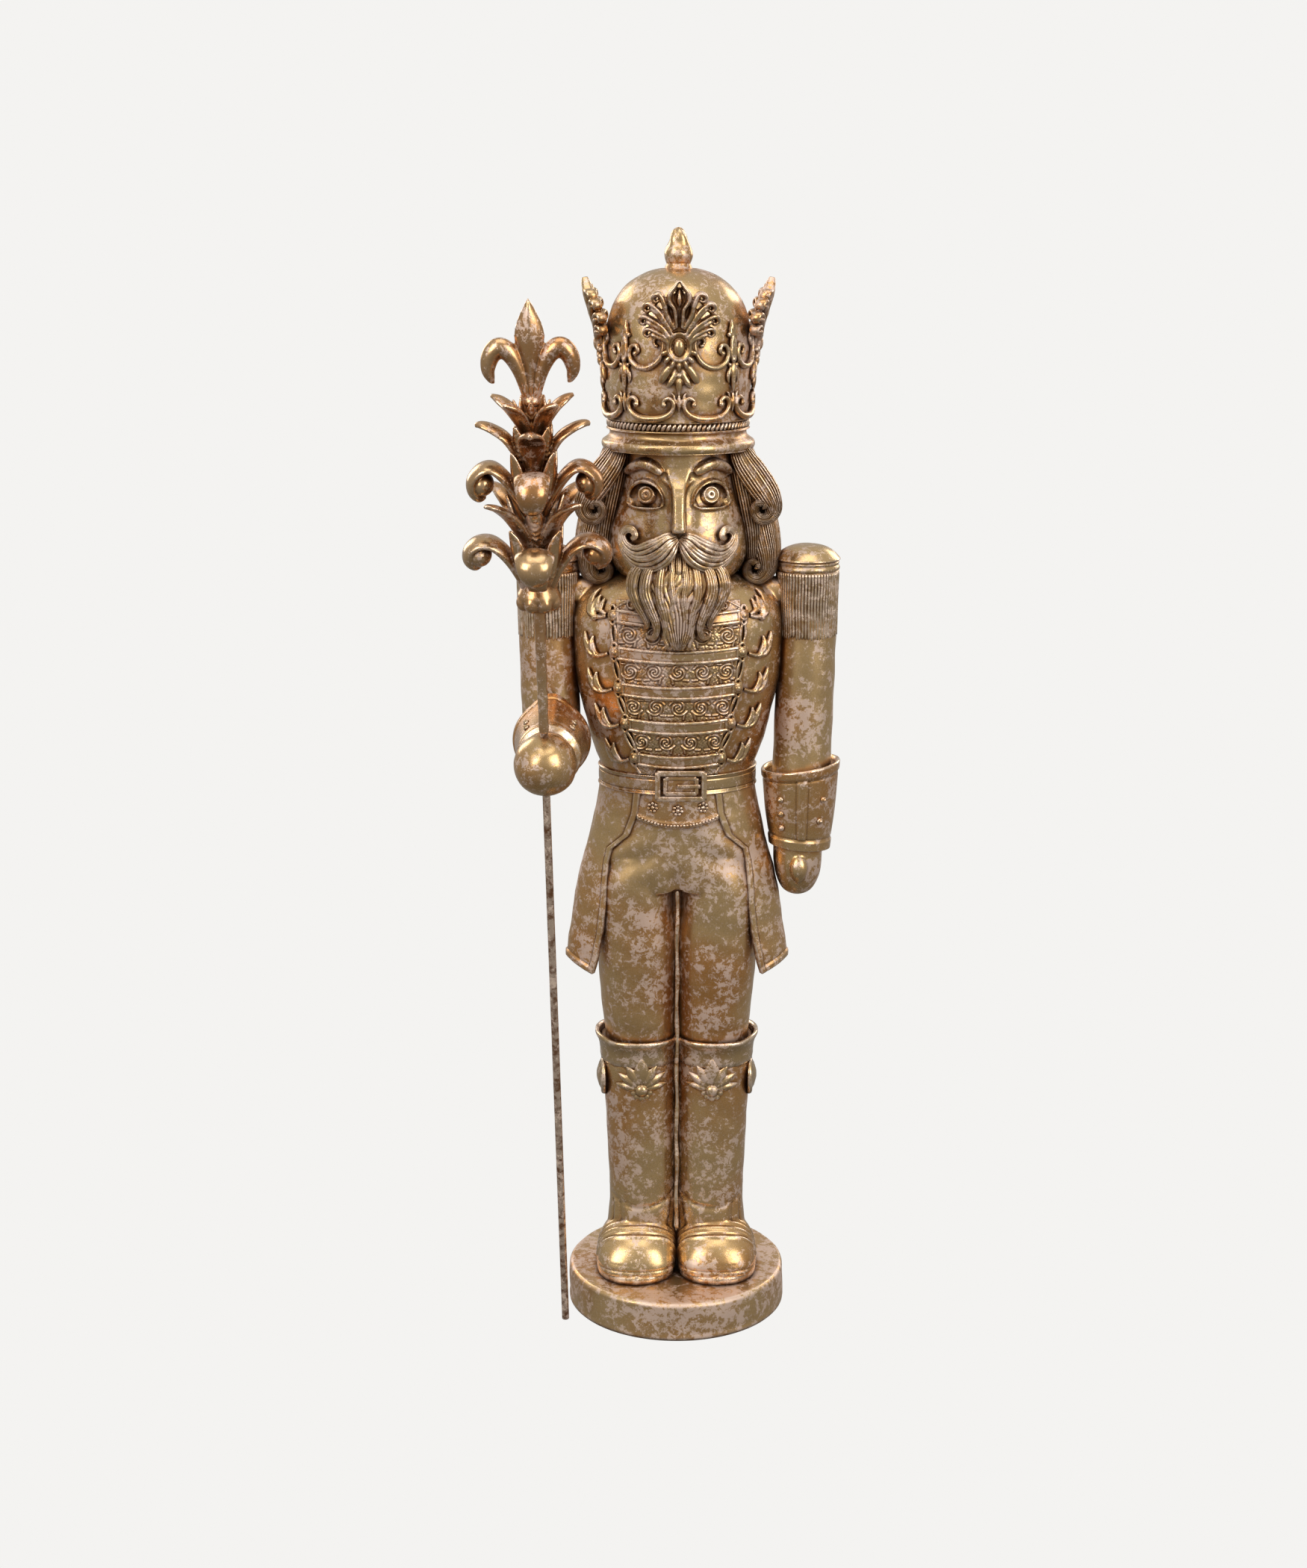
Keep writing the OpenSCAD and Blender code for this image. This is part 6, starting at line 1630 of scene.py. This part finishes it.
# sceptre
grip = next(j for j in frame["joints"] if j["name"] == "sceptre_turn")
staffAxis = unit(np.array(grip["axis"], float))
staffGrip = np.array(grip["pos_m"], float) / mm
staffFoot = staffGrip - staffAxis * 335.0
staffX = unit(np.array([1.0, 0, 0]) - staffAxis * staffAxis[0])
staffY = np.cross(staffAxis, staffX)
staff = {"base": 425.0, "tip": 573.5}


def onStaff(p):  # (across, away from the front, along) to the frame
    p = np.asarray(p, float)
    return staffFoot + p[..., :1] * staffX + p[..., 1:2] * staffY + p[..., 2:3] * staffAxis


def addLeaf(c, rows, turn, sides=22, cup=0.0, ball=None, **kw):
    # rows of reach, height, half width, half thickness
    p = curve(rows, 60)
    local = np.column_stack([p[:, 0], 0 * p[:, 0], p[:, 1]])
    ahead = unit(np.gradient(local, axis=0))
    up = np.column_stack([-ahead[:, 2], 0 * ahead[:, 0], ahead[:, 0]])
    part = Clay().sweep(local, up, p[:, 2] * 1.1, p[:, 3] * 1.25, sides, cup=cup, **kw)
    if ball:
        part.ball((ball[0], 0, ball[1]), ball[2:5], 34)
    s, k = math.sin(turn), math.cos(turn)

    def swing(v):
        return onStaff(np.column_stack([v[:, 0] * k - v[:, 1] * s, v[:, 0] * s + v[:, 1] * k, v[:, 2]]))
    c.include(part.moved(swing))


def veins(c, turn, reach0, low, reach1, high, wide, count=9):  # raised herringbone on an upright leaf
    s, k = math.sin(turn), math.cos(turn)
    for i in range(count):
        t = (i + 0.6) / count
        w = wide * math.sin(math.pi * min(0.98, 0.12 + 0.86 * t)) ** 0.7
        r, z = reach0 + (reach1 - reach0) * t, low + (high - low) * t
        for side in (-1, 1):
            a = np.linspace(0, 1, 6)
            local = np.column_stack([r + 0.9 - 0.5 * a, side * w * a, z + 2.6 * a])
            path = onStaff(np.column_stack([local[:, 0] * k - local[:, 1] * s, local[:, 0] * s
                                            + local[:, 1] * k, local[:, 2]]))
            out = staffX * k + staffY * s
            c.sweep(path, out, 0.55, 0.6 * (1.1 - a * 0.5), 6)


def makeSceptre():
    settle(frame["nodes"]["sceptre_rod"], rodBrown, body="sceptre_rod")
    stem = Clay()
    s0, s1 = 353.6, staff["base"] - 4
    t = np.linspace(0, 1, 80)
    stem.sweep(onStaff(np.column_stack([0 * t, 0 * t, s0 + (s1 - s0) * t])), staffY, 2.5 + 0.4 * t
               + 0.12 * np.sin(t * 31), 2.5 + 0.4 * t + 0.12 * np.cos(t * 27), 28)
    profile = curve([(0.02, 418.2), (2.9, 418.6), (4.2, 419.8), (7.5, 421.4), (10.2, 424.4), (10.8, 427.2),
                     (9.2, 430.6), (7.2, 435), (6.4, 444), (6.0, 455), (5.6, 468), (5.2, 480), (4.8, 494),
                     (4.2, 508), (3.6, 520), (3.2, 526), (0.02, 526.5)], 110)
    a = np.arange(60) / 60 * tau
    stem.rings(onStaff(np.stack([profile[:, :1] * np.cos(a), profile[:, :1] * np.sin(a),
                                 np.repeat(profile[:, 1:], 60, 1)], -1)))
    for k in range(8):  # lobes of the cup
        b = (k + 0.5) / 8 * tau
        p = onStaff(np.array([7.6 * math.cos(b), 7.6 * math.sin(b), 424.0]))
        stem.ball(p, (4.3, 4.3, 4.6), 22)
    settle(cast(stem, "sceptreStem", 0.5, 2), leafCopper, body="sceptre_head",
           stands=["sceptre_stem"])

    def tier(name, node, draw):
        c = Clay()
        draw(c)
        settle(cast(c, name, 0.52, 2), leafCopper, body="sceptre_head", stands=[node])

    big = [(4, 427, 3.4, 2.4), (8.5, 438, 5.4, 2.6), (14.5, 448, 7.4, 2.6), (21.5, 454.6, 8.8, 2.4),
           (28.5, 455.2, 9.0, 2.4), (33.4, 451.4, 8.2, 2.6), (34.0, 446.2, 7.0, 2.8), (31.0, 443.0, 5.2, 2.6),
           (28.0, 444.4, 2.4, 1.8)]

    def first(c):
        for k in range(4):
            turn = k * math.pi / 2
            addLeaf(c, big, turn, 26, cup=-0.16, ball=(28.6, 448.4, 6.2, 8.8, 6.2), grooves=1, depth=-0.12)
        for k in range(4):
            turn = math.pi / 4 + k * math.pi / 2
            addLeaf(c, [(5, 431, 3.0, 1.6), (9.5, 440, 4.8, 1.5), (12.5, 450, 5.0, 1.4), (14.8, 458, 3.4, 1.2),
                        (17.6, 463.4, 0.6, 0.6)], turn, 18, cup=0.12)
            veins(c, turn, 9.5, 436, 15.0, 459, 4.4, 9)

    def second(c):
        for k in range(4):
            turn = math.pi / 4 + k * math.pi / 2
            addLeaf(c, [(4, 452, 3.0, 1.8), (9.5, 461, 5.0, 1.8), (16, 469.5, 5.8, 1.7),
                        (23.5, 475.2, 5.0, 1.5), (29.5, 477.8, 3.0, 1.2), (33.0, 478.6, 0.7, 0.7)], turn, 20,
                    cup=-0.10)
        for k in range(4):
            turn = k * math.pi / 2
            addLeaf(c, [(5, 453, 2.6, 1.4), (8.2, 460, 4.2, 1.4), (10.8, 468, 4.2, 1.2), (12.8, 475, 2.0, 1.0),
                        (14.0, 478.5, 0.5, 0.5)], turn, 16, cup=0.12)
            veins(c, turn, 8.4, 456, 12.8, 474, 3.8, 7)

    def third(c):
        rows = [(3.5, 468, 3.2, 2.2), (8, 477.5, 5.0, 2.4), (13.5, 486.5, 6.8, 2.4), (20, 492.6, 8.0, 2.2),
                (26.2, 491.8, 8.0, 2.2), (30.6, 486.4, 7.2, 2.4), (30.6, 480.6, 6.0, 2.4),
                (27.6, 477.2, 4.4, 2.2), (24.6, 478.4, 2.0, 1.6)]
        for k in range(4):
            addLeaf(c, rows, k * math.pi / 2, 26, cup=-0.15, ball=(25.4, 484.0, 5.6, 7.8, 6.0), grooves=1,
                    depth=-0.12)
        for k in range(4):
            turn = math.pi / 4 + k * math.pi / 2
            addLeaf(c, [(4.4, 472, 2.6, 1.5), (8.4, 480, 4.2, 1.4), (11.2, 489, 4.4, 1.3),
                        (13.0, 497, 2.6, 1.1), (14.6, 501.6, 0.5, 0.5)], turn, 16, cup=0.12)
            veins(c, turn, 8.6, 476, 13.2, 497, 3.9, 8)

    def fourth(c):
        for k in range(4):
            turn = k * math.pi / 2
            addLeaf(c, [(3.4, 489, 3.0, 1.8), (7.6, 498.5, 5.0, 1.9), (13.0, 507, 6.4, 1.8),
                        (19.5, 511.6, 5.8, 1.6), (24.8, 513.4, 3.8, 1.4), (28.0, 513.0, 1.0, 0.9)], turn, 22,
                    cup=-0.16)
        for k in range(4):
            turn = math.pi / 4 + k * math.pi / 2
            addLeaf(c, [(4.0, 492, 2.4, 1.3), (7.4, 500, 3.8, 1.3), (9.8, 507.5, 3.6, 1.2),
                        (11.6, 514, 0.6, 0.6)], turn, 16, cup=0.12)
            veins(c, turn, 7.4, 495, 11.4, 512, 3.3, 7)

    def fifth(c):
        for k in range(5):
            turn = math.pi / 10 + k * tau / 5
            addLeaf(c, [(3.0, 507, 2.6, 1.6), (6.6, 514.5, 4.4, 1.7), (11.5, 521.0, 5.0, 1.6),
                        (16.6, 524.6, 4.0, 1.4), (21.0, 526.2, 1.0, 0.8)], turn, 20, cup=-0.14)
        for k in range(5):
            turn = k * tau / 5 - math.pi / 2
            addLeaf(c, [(3.4, 508, 2.0, 1.3), (5.8, 514, 3.0, 1.2), (7.8, 520.5, 2.6, 1.1),
                        (9.4, 526, 0.5, 0.5)], turn, 14, cup=0.12)
            veins(c, turn, 5.9, 510, 8.8, 523, 2.6, 6)

    def lily(c):
        def flat(rows, **kw):
            p = curve(rows, 70)
            c.sweep(onStaff(np.column_stack([p[:, 0], np.full(70, -0.2), p[:, 1]])), -staffY, p[:, 2], p[:, 3],
                    24, **kw)
        for side in (-1, 1):
            flat([(side * 1.6, 523, 2.0, 2.4), (side * 3.0, 531, 2.8, 3.0), (side * 5.6, 540, 3.6, 3.6),
                  (side * 9.6, 547.6, 4.6, 4.2), (side * 14.6, 550.6, 5.0, 4.4), (side * 18.8, 546.8, 4.6, 4.2),
                  (side * 20.4, 540.4, 3.5, 3.6), (side * 19.2, 535.6, 2.1, 2.6),
                  (side * 17.8, 533.4, 0.6, 0.9)], power=1.7)
        flat([(0, 523, 2.8, 2.8), (0, 531, 3.0, 3.0), (0, 539, 3.8, 3.4), (0, 547, 6.0, 3.9),
              (0, 555.5, 7.4, 4.0), (0, 562, 6.2, 3.4), (0, 568, 3.6, 2.4), (0, 572, 1.4, 1.3),
              (0, staff["tip"] + 0.6, 0.25, 0.3)], power=1.25)
        c.ball(onStaff(np.array([0, 0, 524.0])), (4.4, 4.4, 3.4), 24)
    tier("leafTier_1", "leaf_tier_1", first)
    tier("leafTier_2", "leaf_tier_2", second)
    tier("leafTier_3", "leaf_tier_3", third)
    tier("leafTier_4", "leaf_tier_4", fourth)
    tier("leafTier_5", "leaf_tier_5", fifth)
    tier("lily", "fleur_de_lis", lily)


makeHat()
makeCrown()
print("hat ready")
makeEpaulettes()
makeArms()
print("arms ready")
makeSceptre()
print("sceptre ready")


# studio
studio = {"distance": 1.260, "side": -0.013, "height": 0.617, "tilt": 14.0, "lens": 54.43}
camera = bpy.data.objects.new("camera", bpy.data.cameras.new("camera"))
bpy.context.scene.collection.objects.link(camera)
camera.location = (studio["side"], -studio["distance"], studio["height"])
camera.rotation_euler = (math.radians(90 - studio["tilt"]), 0, 0)
camera.data.lens, camera.data.sensor_width, camera.data.sensor_fit = studio["lens"], 36, "AUTO"
camera.data.clip_start, camera.data.clip_end = 0.05, 50
bpy.context.scene.camera = camera
bpy.context.scene.view_settings.view_transform = "Standard"

paper = (0.905, 0.896, 0.879, 1)
b = Bench(bpy.data.materials.new("paleFloor"))
floorMat = b.output(b.node("Emission", None, {"Color": paper}))
floorMesh = bpy.data.meshes.new("floor")
floorMesh.from_pydata([(-6, -6, -0.0005), (6, -6, -0.0005), (6, 6, -0.0005), (-6, 6, -0.0005)], [],
                      [(0, 1, 2, 3)])
floor = bpy.data.objects.new("floor", floorMesh)
floor.data.materials.append(floorMat)
bpy.context.scene.collection.objects.link(floor)
floor.visible_diffuse = floor.visible_glossy = False

sky = Bench(bpy.data.worlds.new("studio"))
bpy.context.scene.world = sky.owner
rise = sky.node("SeparateXYZ", None, {0: sky.node("TexCoord")}, out=2)
strength = sky.node("MapRange", None, {"Value": rise, "From Min": -0.9, "From Max": 0.9, "To Min": 0.24,
                                       "To Max": 0.86})
soft = sky.node("Background", None, {"Strength": strength})
plain = sky.node("Background", None, {"Color": paper})
sky.output(sky.node("MixShader", None, {0: sky.node("LightPath"), 1: soft, 2: plain}),
           "World")  # the camera sees paper


def softBox(name, place, aimAt, size, power):
    light = bpy.data.lights.new(name, "AREA")
    light.shape, light.size, light.size_y, light.energy = "RECTANGLE", size[0], size[1], power
    made = bpy.data.objects.new(name, light)
    bpy.context.scene.collection.objects.link(made)
    made.location = place
    made.rotation_euler = (Vector(aimAt) - Vector(place)).to_track_quat("-Z", "Y").to_euler()
    made.visible_camera = False
    return made


softBox("keyLeft", (-1.5, -1.7, 1.5), (0, 0, 0.32), (1.1, 1.5), 29)
softBox("keyRight", (1.5, -1.7, 1.3), (0, 0, 0.32), (1.1, 1.5), 27)
softBox("overhead", (0, -0.5, 2.3), (0, 0, 0.3), (1.6, 1.2), 12)
softBox("backLeft", (-1.4, 1.6, 1.2), (0, 0, 0.32), (0.9, 1.3), 14)
softBox("backRight", (1.4, 1.6, 1.2), (0, 0, 0.32), (0.9, 1.3), 14)

print("finished")
